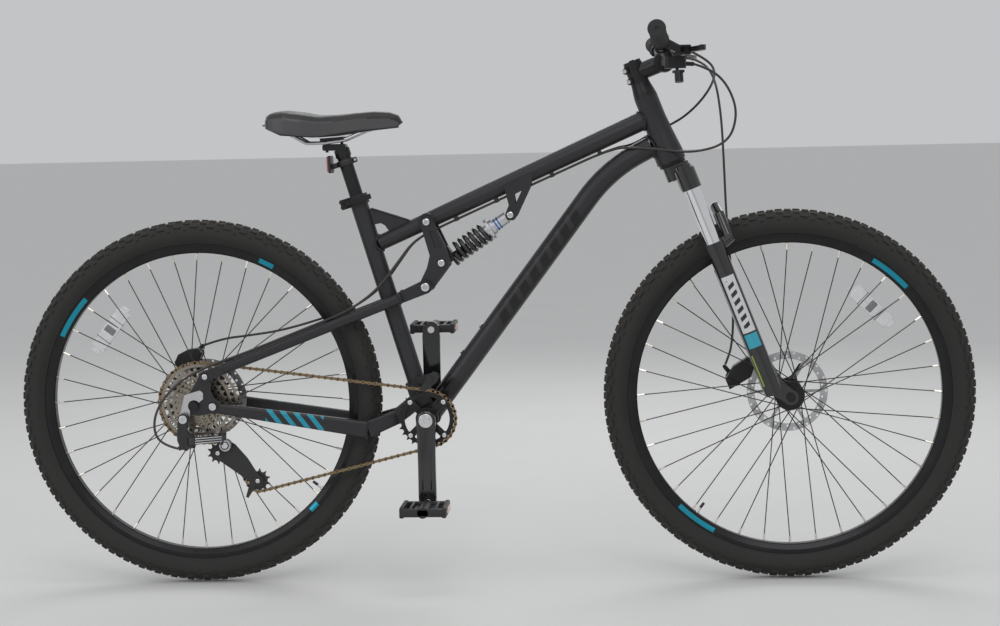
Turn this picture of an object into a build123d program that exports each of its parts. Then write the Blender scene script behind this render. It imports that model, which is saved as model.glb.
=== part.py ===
# Full-suspension 29 inch mountain bike, in millimetres.
# +X is forward, +Y is the rider's left (the drive side is -Y), +Z is up.
# The origin lies on the ground, midway between the axles, on the bike's middle plane.
from build123d import *
from math import atan2, cos, degrees, pi, radians, sin, sqrt
import os

os.makedirs("parts", exist_ok=True)

# ---------------------------------------------------------------- driving dimensions
wheel_base = 1169.0
wheel_radius = 366.0
tyre_width = 54.0
tyre_wall = 3.0
rim_outer_radius = 317.0
rim_inner_radius = 298.0
rim_width = 28.0
rim_wall = 1.6
spoke_count = 36
spoke_radius = 0.9
nipple_radius = 2.0
nipple_length = 12.0
flange_radius = 29.0
flange_thickness = 3.0
hub_shell_radius = 14.0
hub_axle_radius = 5.0
front_hub_width = 100.0
rear_hub_width = 135.0
front_flanges = (22.0, -33.0)
rear_flanges = (30.0, -20.0)
valve_radius = 3.0
valve_length = 44.0
reflector_length = 116.0
reflector_width = 33.0
reflector_ring = 235.0
rotor_radius = 80.0
rotor_thickness = 1.8
front_rotor_y = 40.0
rear_rotor_y = 52.0

head_angle = 69.0
head_middle = Vector(335.8, 0, 892.2)
head_tube_top = -65.0
head_tube_bottom = 70.0
head_top_radius = 23.0
head_bottom_radius = 29.0
cup_bore_radius = 17.0
steerer_radius = 14.3
crown_offset = 16.0
stanchion_spacing = 65.0
stanchion_radius = 15.0
crown_bottom = 132.5
lowers_top = 245.0
lowers_bottom = 561.0
leg_radius = 18.0
axle_along = 580.6
axle_ahead = 43.8
fork_travel = 100.0

stem_height = 40.0
stem_middle = -115.0
stem_length = 59.0
bar_clamp_radius = 15.9
bar_radius = 11.1
grip_radius = 16.0
grip_length = 126.0
bar_half_width = 350.0

seat_angle = 73.5
seat_tube_top = Vector(-257.5, 0, 757.0)
seat_tube_radius = 17.5
seat_post_radius = 13.6
top_tube_head_height = 38.0
top_tube_seat_height = 31.0
top_tube_width = 34.0
down_tube_radius = 21.0
down_tube_bend_radius = 300.0
tube_wall = 2.5
shell_radius = 20.0
shell_width = 73.0
shell_bore = 17.0
bottom_bracket = Vector(-127.0, 0, 331.5)

main_pivot = Vector(-137.0, 0, 373.0)
rocker_pivot = Vector(-121.0, 0, 718.5)
shock_rear_eye = Vector(-93.0, 0, 637.2)
stay_pivot = Vector(-125.0, 0, 590.8)
shock_front_eye = Vector(43.8, 0, 728.8)
dropout_pivot = Vector(-560.8, 0, 424.1)
rear_axle = Vector(-wheel_base / 2, 0, wheel_radius)
front_axle = Vector(wheel_base / 2, 0, wheel_radius)
spring_outer_radius = 23.0
spring_inner_radius = 17.5

crank_length = 165.0
crank_inner_y = 66.0
crank_outer_y = 82.0
chain_pitch = 12.7
ring_teeth = 28
ring_y = -50.0
cog_teeth = (11, 13, 15, 18, 21, 24, 28, 34, 40)
cog_spacing = 4.0
large_cog_y = -27.0
pulley_teeth = 10
lower_pulley_teeth = 11
pulley_y = -38.0
upper_pulley = Vector(-547.5, 0, 267.0)
lower_pulley = Vector(-468.8, 0, 210.3)
chain_width = 5.6
chain_height = 8.0

cable_radius = 2.4
cable_side = 4.5
cable_drop = 5.0

running = 0.05
gap = 0.3

# ---------------------------------------------------------------- directions and planes
steer_down = Vector(cos(radians(head_angle)), 0, -sin(radians(head_angle)))
steer_ahead = Vector(sin(radians(head_angle)), 0, cos(radians(head_angle)))
seat_down = Vector(cos(radians(seat_angle)), 0, -sin(radians(seat_angle)))
seat_back = Vector(-sin(radians(seat_angle)), 0, -cos(radians(seat_angle)))
across = Vector(0, 1, 0)


def steer_point(along, ahead=0.0, side=0.0):
    return head_middle + steer_down * along + steer_ahead * ahead + across * side


def steer_plane(along, ahead=0.0, side=0.0):
    return Plane(origin=steer_point(along, ahead, side), x_dir=steer_ahead, z_dir=steer_down)


def seat_point(along, back=0.0, side=0.0):
    return seat_tube_top + seat_down * along + seat_back * back + across * side


def seat_plane(along):
    return Plane(origin=seat_point(along), x_dir=seat_back * -1, z_dir=seat_down)


def side_plane(y):
    return Plane.XZ.offset(-y)


def at_y(point, y):
    return Vector(point.X, y, point.Z)


def pitch_radius(teeth):
    return chain_pitch / (2 * sin(pi / teeth))


# ---------------------------------------------------------------- small building blocks
def rod(start, end, radius, mode=Mode.ADD):
    start = Vector(*start)
    axis = Vector(*end) - start
    with BuildSketch(Plane(origin=start, z_dir=axis)) as section:
        Circle(radius)
    extrude(section.sketch, amount=axis.length, mode=mode)


def cross_rod(point, radius, y_from, y_to, mode=Mode.ADD):
    with BuildSketch(side_plane(y_to)) as section:
        with Locations((point.X, point.Z)):
            Circle(radius)
    extrude(section.sketch, amount=y_to - y_from, mode=mode)


def side_plate(outline, y_from, y_to, mode=Mode.ADD, corner=0.0):
    with BuildSketch(side_plane(y_to)) as section:
        Polygon(*outline, align=None)
        if corner:
            fillet(section.vertices(), corner)
    extrude(section.sketch, amount=y_to - y_from, mode=mode)


def side_link(start, end, start_radius, end_radius, y_from, y_to, mode=Mode.ADD):
    with BuildSketch(side_plane(y_to)) as section:
        with Locations((start.X, start.Z)):
            Circle(start_radius)
        with Locations((end.X, end.Z)):
            Circle(end_radius)
        make_hull()
    extrude(section.sketch, amount=y_to - y_from, mode=mode)


def tapered_bar(start, end, start_size, end_size, corner, mode=Mode.ADD):
    """A rounded bar from start to end; each size is its width along Y and its height."""
    axis = Vector(*end) - Vector(*start)
    upright = across.cross(axis).normalized()
    faces = []
    for point, size in ((start, start_size), (end, end_size)):
        with BuildSketch(Plane(origin=point, x_dir=upright.cross(axis), z_dir=axis)) as section:
            RectangleRounded(size[0], size[1], corner)
        faces.append(section.sketch.face())
    loft(faces, ruled=True, mode=mode)


def ring_about(plane, profile, axis, mode=Mode.ADD):
    with BuildSketch(plane) as section:
        Polygon(*profile, align=None)
    revolve(section.sketch, axis=axis, mode=mode)


def finish(piece, name):
    piece.part.label = name
    export_step(piece.part, f"parts/{name}.step")
    print(name, len(piece.part.solids()), round(piece.part.volume / 1000, 2), "cm3")


# ---------------------------------------------------------------- wheels
def wheel_plane(axle):
    return Plane(origin=axle, x_dir=(1, 0, 0), z_dir=(0, 0, 1))


tyre_middle = (wheel_radius + rim_outer_radius - 7) / 2
tyre_half_height = wheel_radius - tyre_middle
bead_radius = rim_outer_radius - 6.5
flange_inner = rim_width / 2 - rim_wall
tube_gap = tyre_wall + gap

for end_name, axle, flanges, valve_angle, reflector_angle, reflector_y in (
    ("front", front_axle, front_flanges, 232, 46, 8.4),
    ("rear", rear_axle, rear_flanges, -37, 142, 10.0),
):
    profile_plane = wheel_plane(axle)
    wheel_axis = Axis(axle, (0, 1, 0))

    with BuildPart() as tyre:
        with BuildSketch(profile_plane) as casing:
            with Locations((tyre_middle, 0)):
                Ellipse(tyre_half_height, tyre_width / 2)
                Ellipse(tyre_half_height - tyre_wall, tyre_width / 2 - tyre_wall, mode=Mode.SUBTRACT)
            for side in (-1, 1):
                with Locations((rim_outer_radius + gap - 10, side * (flange_inner - gap + 10))):
                    Rectangle(20, 20, mode=Mode.SUBTRACT)
            with Locations((bead_radius - 10, 0)):
                Rectangle(20, rim_width, mode=Mode.SUBTRACT)
            with Locations((bead_radius + 4, 0)):
                Rectangle(8, 2 * (flange_inner - gap - tyre_wall), mode=Mode.SUBTRACT)
            for side in (-1, 1):
                Polygon(
                    (bead_radius, side * 9.1), (bead_radius, side * 12.1), (bead_radius + 6.9, side * 12.1),
                    (bead_radius + 6.9, side * 16.5), (bead_radius + 11.5, side * 20),
                    (bead_radius + 10, side * 16.3), (bead_radius + 5.5, side * 9.1), align=None,
                )
        revolve(casing.sketch, axis=wheel_axis)
        with BuildSketch(profile_plane) as inner_tube:
            with Locations((tyre_middle + 1, 0)):
                Ellipse(tyre_half_height - tube_gap - 1, tyre_width / 2 - tube_gap)
                Ellipse(tyre_half_height - tube_gap - 2.5, tyre_width / 2 - tube_gap - 1.5, mode=Mode.SUBTRACT)
        revolve(inner_tube.sketch, axis=wheel_axis)
        valve_way = Vector(cos(radians(valve_angle)), 0, sin(radians(valve_angle)))
        rod(axle + valve_way * (rim_outer_radius - valve_length), axle + valve_way * (rim_outer_radius + 1), valve_radius)
    finish(tyre, f"{end_name}_tyre")

    with BuildPart() as rim:
        with BuildSketch(profile_plane) as rim_section:
            Polygon(
                (rim_inner_radius, -8), (rim_inner_radius + 2, -10), (rim_outer_radius - 8, -rim_width / 2),
                (rim_outer_radius, -rim_width / 2), (rim_outer_radius, rim_width / 2),
                (rim_outer_radius - 8, rim_width / 2), (rim_inner_radius + 2, 10), (rim_inner_radius, 8),
                align=None,
            )
            with Locations((rim_outer_radius, 0)):
                Rectangle(2 * (rim_outer_radius - bead_radius + gap), 2 * flange_inner, mode=Mode.SUBTRACT)
            Polygon(
                (rim_inner_radius + rim_wall, -6.5), (bead_radius - 2, -flange_inner + 1),
                (bead_radius - 2, flange_inner - 1), (rim_inner_radius + rim_wall, 6.5),
                align=None, mode=Mode.SUBTRACT,
            )
        revolve(rim_section.sketch, axis=wheel_axis)
        rod(
            axle + valve_way * (rim_inner_radius - 5), axle + valve_way * (rim_outer_radius + 5),
            valve_radius + gap, mode=Mode.SUBTRACT,
        )
    finish(rim, f"{end_name}_rim")

    with BuildPart() as spokes:
        per_flange = spoke_count // 2
        for flange_index, flange_y in enumerate(flanges):
            out = 1 if flange_y > 0 else -1
            for index in range(per_flange):
                lead = 1 if index % 2 == 0 else -1
                hub_angle = radians(index * 360 / per_flange + flange_index * 10)
                rim_angle = hub_angle + radians(60 * lead)
                seat = flange_thickness / 2 + spoke_radius + 0.8
                inner = axle + Vector(
                    (flange_radius - 3) * cos(hub_angle), flange_y + lead * out * seat,
                    (flange_radius - 3) * sin(hub_angle),
                )
                outer = axle + Vector(
                    (rim_inner_radius - 0.1) * cos(rim_angle), out * (2.4 + lead * 1.2),
                    (rim_inner_radius - 0.1) * sin(rim_angle),
                )
                back = (inner - outer).normalized()
                rod(outer + back * 2, inner, spoke_radius)
                radial = Vector(cos(rim_angle), 0, sin(rim_angle))
                rod(outer, outer - radial * nipple_length, nipple_radius)
        reflector_way = Vector(cos(radians(reflector_angle)), 0, sin(radians(reflector_angle)))
        reflector_plane = Plane(
            origin=axle + reflector_way * reflector_ring + across * reflector_y,
            x_dir=across.cross(reflector_way), z_dir=across,
        )
        with BuildSketch(reflector_plane) as reflector_face:
            SlotOverall(reflector_length, reflector_width)
        extrude(reflector_face.sketch, amount=7)
    finish(spokes, f"{end_name}_spokes")

    rotor_y = front_rotor_y if end_name == "front" else rear_rotor_y
    with BuildPart() as hub:
        left, right = flanges
        half_flange = flange_thickness / 2
        hub_end = right - (9 if end_name == "front" else 5)
        ring_about(profile_plane, [
            (hub_axle_radius + running, hub_end), (20, hub_end), (20, right - half_flange),
            (flange_radius, right - half_flange), (flange_radius, right + half_flange), (20, right + half_flange),
            (hub_shell_radius, right + 9), (hub_shell_radius, left - 9), (20, left - half_flange),
            (flange_radius, left - half_flange), (flange_radius, left + half_flange), (21, left + half_flange),
            (21, rotor_y - rotor_thickness / 2), (16, rotor_y - rotor_thickness / 2),
            (16, rotor_y + rotor_thickness / 2 + 3), (hub_axle_radius + running, rotor_y + rotor_thickness / 2 + 3),
        ], wheel_axis)
        if end_name == "rear":
            free_hub_outer = large_cog_y - cog_spacing * (len(cog_teeth) - 1) - 3
            ring_about(profile_plane, [
                (hub_axle_radius + running, hub_end), (hub_axle_radius + running, free_hub_outer),
                (15, free_hub_outer), (15, hub_end),
            ], wheel_axis)
    finish(hub, f"{end_name}_hub")

    with BuildPart() as rotor:
        rotor_plane = Plane(origin=axle + across * (rotor_y - rotor_thickness / 2), x_dir=(1, 0, 0), z_dir=(0, 1, 0))
        with BuildSketch(rotor_plane) as rotor_face:
            Circle(rotor_radius)
            Circle(rotor_radius - 15, mode=Mode.SUBTRACT)
            with PolarLocations(rotor_radius - 3.5, 18):
                Circle(2.2, mode=Mode.SUBTRACT)
            with PolarLocations(rotor_radius - 10.5, 18, start_angle=10):
                Circle(2.2, mode=Mode.SUBTRACT)
            Circle(27)
            Circle(16 + running, mode=Mode.SUBTRACT)
            with PolarLocations(46, 6):
                Rectangle(44, 6)
            with PolarLocations(22, 6, start_angle=30):
                Circle(2.0, mode=Mode.SUBTRACT)
        extrude(rotor_face.sketch, amount=rotor_thickness)
    finish(rotor, f"{end_name}_rotor")

with BuildPart() as cassette:
    chain_seat = chain_height / 2 + 0.6
    with BuildSketch(wheel_plane(rear_axle)) as cogs:
        for index, teeth in enumerate(cog_teeth):
            cog_y = large_cog_y - cog_spacing * (len(cog_teeth) - 1 - index)
            cog_outer = pitch_radius(teeth) - chain_seat
            with Locations(((15 + running + cog_outer) / 2, cog_y)):
                Rectangle(cog_outer - 15 - running, 1.8)
        spread = cog_spacing * (len(cog_teeth) - 1)
        with Locations((16.5 + running / 2, large_cog_y - spread / 2)):
            Rectangle(3 - running, spread)
    revolve(cogs.sketch, axis=Axis(rear_axle, (0, 1, 0)))
finish(cassette, "cassette")

# ---------------------------------------------------------------- frame
head_profile = Plane(origin=head_middle, x_dir=steer_ahead, z_dir=(0, 1, 0))
steer_axis = Axis(head_middle, steer_down)


def head_outline(bore):
    return [
        (bore, head_tube_top), (head_top_radius, head_tube_top), (head_top_radius, -22),
        (head_top_radius + 2, 10), (head_bottom_radius, 52), (head_bottom_radius, head_tube_bottom),
        (bore, head_tube_bottom),
    ]


def keep_largest(piece):
    largest = piece.part.solids().sort_by(SortBy.VOLUME)[-1]
    add(largest, mode=Mode.REPLACE)


with BuildPart() as head_tube:
    ring_about(head_profile, head_outline(cup_bore_radius), steer_axis)
finish(head_tube, "head_tube")

with BuildPart() as head_envelope:
    ring_about(head_profile, head_outline(0), steer_axis)

seat_tube_low = (seat_tube_top.Z - 403) / sin(radians(seat_angle))
with BuildPart() as seat_tube:
    with BuildSketch(seat_plane(0)) as seat_section:
        Circle(seat_tube_radius)
        Circle(seat_post_radius + running, mode=Mode.SUBTRACT)
    extrude(seat_section.sketch, amount=seat_tube_low)
finish(seat_tube, "seat_tube")

seat_low = seat_point(seat_tube_low)
with BuildPart() as bottom_bracket_shell:
    cross_rod(bottom_bracket, shell_radius, -shell_width / 2, shell_width / 2)
    housing_front = seat_low - seat_back * (seat_tube_radius + 3)
    housing_back = seat_low + seat_back * (seat_tube_radius + 3)
    side_plate([
        (housing_back.X, housing_back.Z), (housing_front.X, housing_front.Z),
        (bottom_bracket.X + 14, bottom_bracket.Z + 12), (bottom_bracket.X - 14, bottom_bracket.Z - 8),
        (bottom_bracket.X - 34, bottom_bracket.Z + 32),
    ], -seat_tube_radius - 2, seat_tube_radius + 2)
    cross_rod(main_pivot, 17, -seat_tube_radius - 2, seat_tube_radius + 2)
    cross_rod(bottom_bracket, shell_bore, -shell_width, shell_width, Mode.SUBTRACT)
    cross_rod(main_pivot, 8 + running, -shell_width, shell_width, Mode.SUBTRACT)
finish(bottom_bracket_shell, "bottom_bracket_shell")

with BuildPart() as shell_envelope:
    add(bottom_bracket_shell.part)
    cross_rod(bottom_bracket, shell_bore, -shell_width / 2, shell_width / 2)

# The down tube leaves the bottom bracket shell straight and bends forward under the head tube.
down_tube_bend = Vector(237.2, 0, 813.4)
down_tube_end = Vector(322.1, 0, 856.7)
down_way = down_tube_bend - bottom_bracket


def sweep_down_tube(outer, inner=0.0):
    with BuildLine(Plane.XZ) as route:
        FilletPolyline(
            (bottom_bracket.X, bottom_bracket.Z), (down_tube_bend.X, down_tube_bend.Z),
            (down_tube_end.X, down_tube_end.Z), radius=down_tube_bend_radius,
        )
    with BuildSketch(Plane(origin=bottom_bracket, z_dir=down_way)) as section:
        Circle(outer)
        if inner:
            Circle(inner, mode=Mode.SUBTRACT)
    sweep(section.sketch, path=route.line)


with BuildPart() as down_tube:
    sweep_down_tube(down_tube_radius, down_tube_radius - tube_wall)
    add(head_envelope.part, mode=Mode.SUBTRACT)
    add(shell_envelope.part, mode=Mode.SUBTRACT)
    boss_way = (across.cross(down_way) * -1).normalized()
    boss_row = down_way.normalized()
    for boss_along in (142.0, 206.0):
        boss_foot = bottom_bracket + boss_row * boss_along + boss_way * down_tube_radius
        rod(boss_foot - boss_way * 9, boss_foot + boss_way * 1.6, 5.0)
        rod(boss_foot - boss_way * 12, boss_foot + boss_way * 4, 2.1, Mode.SUBTRACT)
    keep_largest(down_tube)
finish(down_tube, "down_tube")

with BuildPart() as down_envelope:
    sweep_down_tube(down_tube_radius)

top_tube_seat = Vector(-217.0, 0, 677.2)
top_tube_head = Vector(325.0, 0, 916.0)
top_way = (top_tube_head - top_tube_seat).normalized()
top_up = across.cross(top_way).normalized() * -1


def loft_top_tube(shrink=0.0, mode=Mode.ADD):
    faces = []
    for point, height in ((top_tube_seat, top_tube_seat_height), (top_tube_head, top_tube_head_height)):
        with BuildSketch(Plane(origin=point, x_dir=top_up, z_dir=top_way)) as top_section:
            Ellipse(height / 2 - shrink, top_tube_width / 2 - shrink)
        faces.append(top_section.sketch.face())
    loft(faces, ruled=True, mode=mode)


def top_tube_under(x, y, drop):
    middle = top_tube_seat + top_way * ((x - top_tube_seat.X) / top_way.X)
    share = (x - top_tube_seat.X) / (top_tube_head.X - top_tube_seat.X)
    depth = (top_tube_seat_height + (top_tube_head_height - top_tube_seat_height) * share) / 2
    return middle - top_up * (depth + drop) + across * y


with BuildPart() as top_tube:
    loft_top_tube()
    loft_top_tube(tube_wall, Mode.SUBTRACT)
    cross_rod(rocker_pivot, 17, -24, 24)
    cross_rod(rocker_pivot, 8 + running, -30, 30, Mode.SUBTRACT)
    rod(seat_point(-10), seat_point(seat_tube_low), seat_tube_radius, Mode.SUBTRACT)
    add(head_envelope.part, mode=Mode.SUBTRACT)
    add(down_envelope.part, mode=Mode.SUBTRACT)
    keep_largest(top_tube)
finish(top_tube, "top_tube")

with BuildPart() as top_envelope:
    loft_top_tube()

# Gusset, shock bracket and cable guides: plates and clips welded to the tubes.
guide_places = (212.0, 118.0, 8.0, -72.0)
with BuildPart() as frame_brackets:
    side_plate([
        (-243, 747), (-236, 746), (-156, 722), (-160, 712), (-190, 690),
        (-199, 702), (-206, 712), (-214, 716.5), (-229, 714), (-240, 712), (-250, 730),
    ], -6, 6)
    rod(seat_point(-10), seat_point(seat_tube_low), seat_tube_radius, Mode.SUBTRACT)
    add(top_envelope.part, mode=Mode.SUBTRACT)
    bracket_inner = top_tube_width / 2 + running
    for y_from, y_to in ((-bracket_inner - 5, -bracket_inner), (bracket_inner, bracket_inner + 5)):
        side_plate([
            (32, 786), (90, 811), (84, 783), (57, 727), (50, 718), (38, 718), (33, 728), (41, 748),
        ], y_from, y_to)
        side_plate([(51.5, 768), (67, 776), (54.5, 750)], y_from, y_to, Mode.SUBTRACT)
    cross_rod(shock_front_eye, 4, -bracket_inner - 5, bracket_inner + 5)
    for side in (-1, 1):
        cross_rod(at_y(shock_front_eye, 0), 7, *sorted((side * (bracket_inner + 5), side * (bracket_inner + 8))))
    for place in guide_places:
        foot = top_tube_under(place, 0, 3.2)
        with BuildSketch(Plane(origin=foot - top_way * 4, x_dir=across, z_dir=top_way)) as guide_face:
            RectangleRounded(17, 10.5, 2)
            with Locations((-cable_side, 1.8), (cable_side, 1.8), (-cable_side, -1.8), (cable_side, -1.8)):
                Circle(cable_radius + 0.2, mode=Mode.SUBTRACT)
        extrude(guide_face.sketch, amount=8)
    add(top_envelope.part, mode=Mode.SUBTRACT)
finish(frame_brackets, "frame_brackets")

# Bearing cups of the headset and of the bottom bracket.
with BuildPart() as bearing_cups:
    for start, face, outward, flange in (
        (head_tube_top + 12, head_tube_top, -1, head_top_radius),
        (head_tube_bottom - 12, head_tube_bottom, 1, head_bottom_radius - 2),
    ):
        ring_about(head_profile, [
            (steerer_radius + running, start), (cup_bore_radius - 0.01, start), (cup_bore_radius - 0.01, face),
            (flange, face), (flange - 1, face + outward * 8), (steerer_radius + running, face + outward * 8),
        ], steer_axis)
    for side in (-1, 1):
        start = side * (shell_width / 2 - 14)
        face = side * shell_width / 2
        ring_about(wheel_plane(bottom_bracket), [
            (8.5 + running, start), (shell_bore - 0.01, start), (shell_bore - 0.01, face), (shell_radius, face),
            (shell_radius, face + side * 3), (8.5 + running, face + side * 3),
        ], Axis(bottom_bracket, (0, 1, 0)))
finish(bearing_cups, "bearing_cups")

# Seat clamp: a split ring with a quick-release cam behind it.
cam_pin_radius = 2.5
with BuildPart() as seat_clamp_collar:
    with BuildSketch(seat_plane(-16)) as collar_section:
        Circle(seat_tube_radius + 4)
        with Locations((-seat_tube_radius - 8, 0)):
            Rectangle(18, 24)
        Circle(seat_post_radius + 0.2, mode=Mode.SUBTRACT)
        with Locations((-seat_tube_radius - 8, 0)):
            Rectangle(26, 2.5, mode=Mode.SUBTRACT)
    extrude(collar_section.sketch, amount=20)
    with BuildSketch(seat_plane(0)) as tube_section:
        Circle(seat_tube_radius + 0.01)
    extrude(tube_section.sketch, amount=10, mode=Mode.SUBTRACT)
    rod(seat_point(-6, 27, -22), seat_point(-6, 27, 20), 3)
    rod(seat_point(-6, 27, 12), seat_point(-6, 27, 20), 7)
    rod(seat_point(-6, 27, -14.5), seat_point(-6, 27, -12), 6)
    rod(seat_point(0.5, 27, -23), seat_point(-12.5, 27, -23), cam_pin_radius)
finish(seat_clamp_collar, "seat_clamp_collar")

with BuildPart() as seat_clamp_lever:
    cam_low = seat_point(1, 27, -23)
    cam_high = seat_point(-13, 27, -23)
    rod(cam_low, cam_high, 7.5)
    with BuildSketch(seat_plane(-11)) as lever_section:
        with BuildLine():
            Polyline((-27, 16), (-10, 24), (10, 27), (30, 24), (31, 29), (10, 33), (-12, 31), (-27, 30), close=True)
        make_face()
    extrude(lever_section.sketch, amount=10)
    rod(seat_point(-2.7, 27, -23), seat_point(-9.3, 27, -23), 7.9, Mode.SUBTRACT)
    rod(seat_point(5, 27, -23), seat_point(-17, 27, -23), cam_pin_radius + running, Mode.SUBTRACT)
finish(seat_clamp_lever, "seat_clamp_lever")

# ---------------------------------------------------------------- seat
with BuildPart() as seat_post:
    rod(seat_point(180), seat_point(-108), seat_post_radius)
    rod(seat_point(181), seat_point(-90), seat_post_radius - 2.2, Mode.SUBTRACT)
    with BuildSketch(side_plane(16)) as head_block:
        with Locations((-302, 868)):
            Rectangle(46, 13)
        fillet(head_block.vertices(), 4)
    extrude(head_block.sketch, amount=32)
    rod(seat_point(-112), seat_point(-96), seat_post_radius + 2)
    side_plate([(-327, 880.5), (-280, 884), (-281, 889), (-328, 886)], -29, 29)
    for x in (-318, -288):
        rod((x, 0, 858), (x, 0, 886), 3)
finish(seat_post, "seat_post")

rail_radius = 3.5
with BuildPart() as saddle_rails:
    for side in (-1, 1):
        with BuildLine() as rail_path:
            FilletPolyline(
                (-392, side * 30, 898.5), (-356, side * 22, 877), (-320, side * 22, 877),
                (-282, side * 22, 882), (-240, side * 14, 899), (-210, side * 9, 906), radius=14,
            )
        with BuildSketch(Plane(origin=rail_path.line @ 0, z_dir=rail_path.line % 0)) as rail_section:
            Circle(rail_radius)
        sweep(rail_section.sketch, path=rail_path.line)
    add(seat_post.part, mode=Mode.SUBTRACT)
finish(saddle_rails, "saddle_rails")

saddle_top_points = [
    (-438, 30), (-436, 52), (-420, 68), (-392, 74), (-360, 68), (-330, 50),
    (-300, 33), (-260, 24), (-215, 19), (-180, 17), (-167, 10),
]
shell_top_line = [(-440, 911), (-400, 903.5), (-340, 898.5), (-300, 901.5), (-230, 911.5), (-175, 911.5)]


def saddle_prism(scale_x, scale_y, shift, outline, mode=Mode.INTERSECT):
    half = [(x * scale_x + shift, y * scale_y) for x, y in saddle_top_points]
    with BuildSketch(Plane.XY.offset(870)) as saddle_plan:
        Polygon(*half, *[(x, -y) for x, y in reversed(half)], align=None)
    extrude(saddle_plan.sketch, amount=90)
    with BuildSketch(side_plane(90)) as saddle_side:
        Polygon(*outline, align=None)
    extrude(saddle_side.sketch, amount=180, mode=mode)


with BuildPart() as saddle_shell:
    saddle_prism(0.97, 0.86, -9, [
        *shell_top_line, (-175, 904), (-230, 899), (-262, 894), (-300, 890), (-340, 888), (-400, 893),
    ])
    add(saddle_rails.part, mode=Mode.SUBTRACT)
    keep_largest(saddle_shell)
finish(saddle_shell, "saddle_shell")

with BuildPart() as saddle_hollow:
    saddle_prism(0.97, 0.86, -9, [*shell_top_line, (-175, 880), (-440, 880)])

with BuildPart() as saddle_cover:
    saddle_prism(1, 1, 0, [
        (-440, 908), (-438, 930), (-420, 942), (-378, 943), (-327, 932), (-260, 935), (-221, 938),
        (-178, 935), (-165, 922), (-172, 905), (-230, 901), (-300, 891), (-340, 888), (-400, 895),
    ])
    add(saddle_hollow.part, mode=Mode.SUBTRACT)
    keep_largest(saddle_cover)
finish(saddle_cover, "saddle_cover")

with BuildPart() as rear_reflector:
    with BuildSketch(seat_plane(-90)) as band_section:
        Circle(seat_post_radius + 3)
        with Locations((-seat_post_radius - 10, 0)):
            Rectangle(15, 9)
        with Locations((seat_post_radius + 6, 0)):
            Rectangle(10, 8)
        Circle(seat_post_radius + 0.01, mode=Mode.SUBTRACT)
    extrude(band_section.sketch, amount=12)
    side_plate([(-309, 852), (-317, 850), (-318, 817), (-310, 817)], -26, 26)
    rod(seat_point(-84, -20, -8), seat_point(-84, -20, 8), 2.5)
finish(rear_reflector, "rear_reflector")

# ---------------------------------------------------------------- fork and cockpit
lower_cup_face = head_tube_bottom + 8
crown_seat = lower_cup_face + gap
stem_bottom = stem_middle + stem_height / 2
stem_top = stem_middle - stem_height / 2
cup_top = head_tube_top - 8
stanchion_top = 97.0
spacer_top = stem_bottom + running

with BuildPart() as fork_crown:
    with BuildSketch(steer_plane(stem_top)) as steerer_section:
        Circle(steerer_radius)
        Circle(steerer_radius - 2.5, mode=Mode.SUBTRACT)
    extrude(steerer_section.sketch, amount=crown_seat - stem_top)
    with BuildSketch(steer_plane(crown_seat)) as crown_middle:
        with Locations((4, 0)):
            RectangleRounded(52, 70, 16)
    extrude(crown_middle.sketch, amount=28)
    for side in (-1, 1):
        rod(
            steer_point(92, crown_offset, side * stanchion_spacing),
            steer_point(crown_bottom, crown_offset, side * stanchion_spacing), 20,
        )
        with BuildSketch(steer_plane(96)) as arm:
            with Locations((crown_offset, -side * stanchion_spacing)):
                Circle(19)
            with Locations((8, -side * 14)):
                Circle(20)
            make_hull()
        extrude(arm.sketch, amount=12)
        rod(
            steer_point(84, crown_offset, side * stanchion_spacing),
            steer_point(92, crown_offset, side * stanchion_spacing), 15,
        )
        rod(
            steer_point(stanchion_top, crown_offset, side * stanchion_spacing),
            steer_point(crown_bottom + 1, crown_offset, side * stanchion_spacing), stanchion_radius + 0.02,
            Mode.SUBTRACT,
        )
finish(fork_crown, "fork_crown")

with BuildPart() as fork_stanchions:
    for side in (-1, 1):
        with BuildSketch(steer_plane(stanchion_top, crown_offset, side * stanchion_spacing)) as stanchion_section:
            Circle(stanchion_radius)
            Circle(stanchion_radius - 2, mode=Mode.SUBTRACT)
        extrude(stanchion_section.sketch, amount=330)
finish(fork_stanchions, "fork_stanchions")

bar_middle = steer_point(stem_middle, stem_length)
with BuildPart() as stem:
    rod(steer_point(stem_top), steer_point(stem_bottom), steerer_radius + 4)
    rod(bar_middle - across * 27, bar_middle + across * 27, bar_clamp_radius + 4.5)
    rod(steer_point(stem_middle, 4), bar_middle - steer_ahead * 6, 17)
    for lift in (-11, 11):
        for side in (-1, 1):
            rod(
                steer_point(stem_middle + lift, -18, side * 4), steer_point(stem_middle + lift, -18, side * 17), 6,
            )
        rod(steer_point(stem_middle + lift, -20, -18), steer_point(stem_middle + lift, -20, 18), 3)
    rod(steer_point(stem_top - 5), steer_point(stem_bottom + 5), steerer_radius + running, Mode.SUBTRACT)
    rod(bar_middle - across * 40, bar_middle + across * 40, bar_clamp_radius, Mode.SUBTRACT)
    # The tapered spacer under the stem and the cap over it are solids of their own.
    spacer_profile = [
        (steerer_radius + running, spacer_top), (steerer_radius + 4, spacer_top), (steerer_radius + 5, -88),
        (head_top_radius - 1, cup_top - gap), (steerer_radius + running, cup_top - gap),
    ]
    ring_about(head_profile, spacer_profile, steer_axis)
    rod(steer_point(stem_top - 5), steer_point(stem_top - running), steerer_radius + 3)
    rod(steer_point(stem_top - 7), steer_point(stem_top - 5), 5)
finish(stem, "stem")

bar_rise_start = 42.0
bar_rise_end = 100.0
grip_start = bar_half_width + 3 - grip_length


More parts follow.
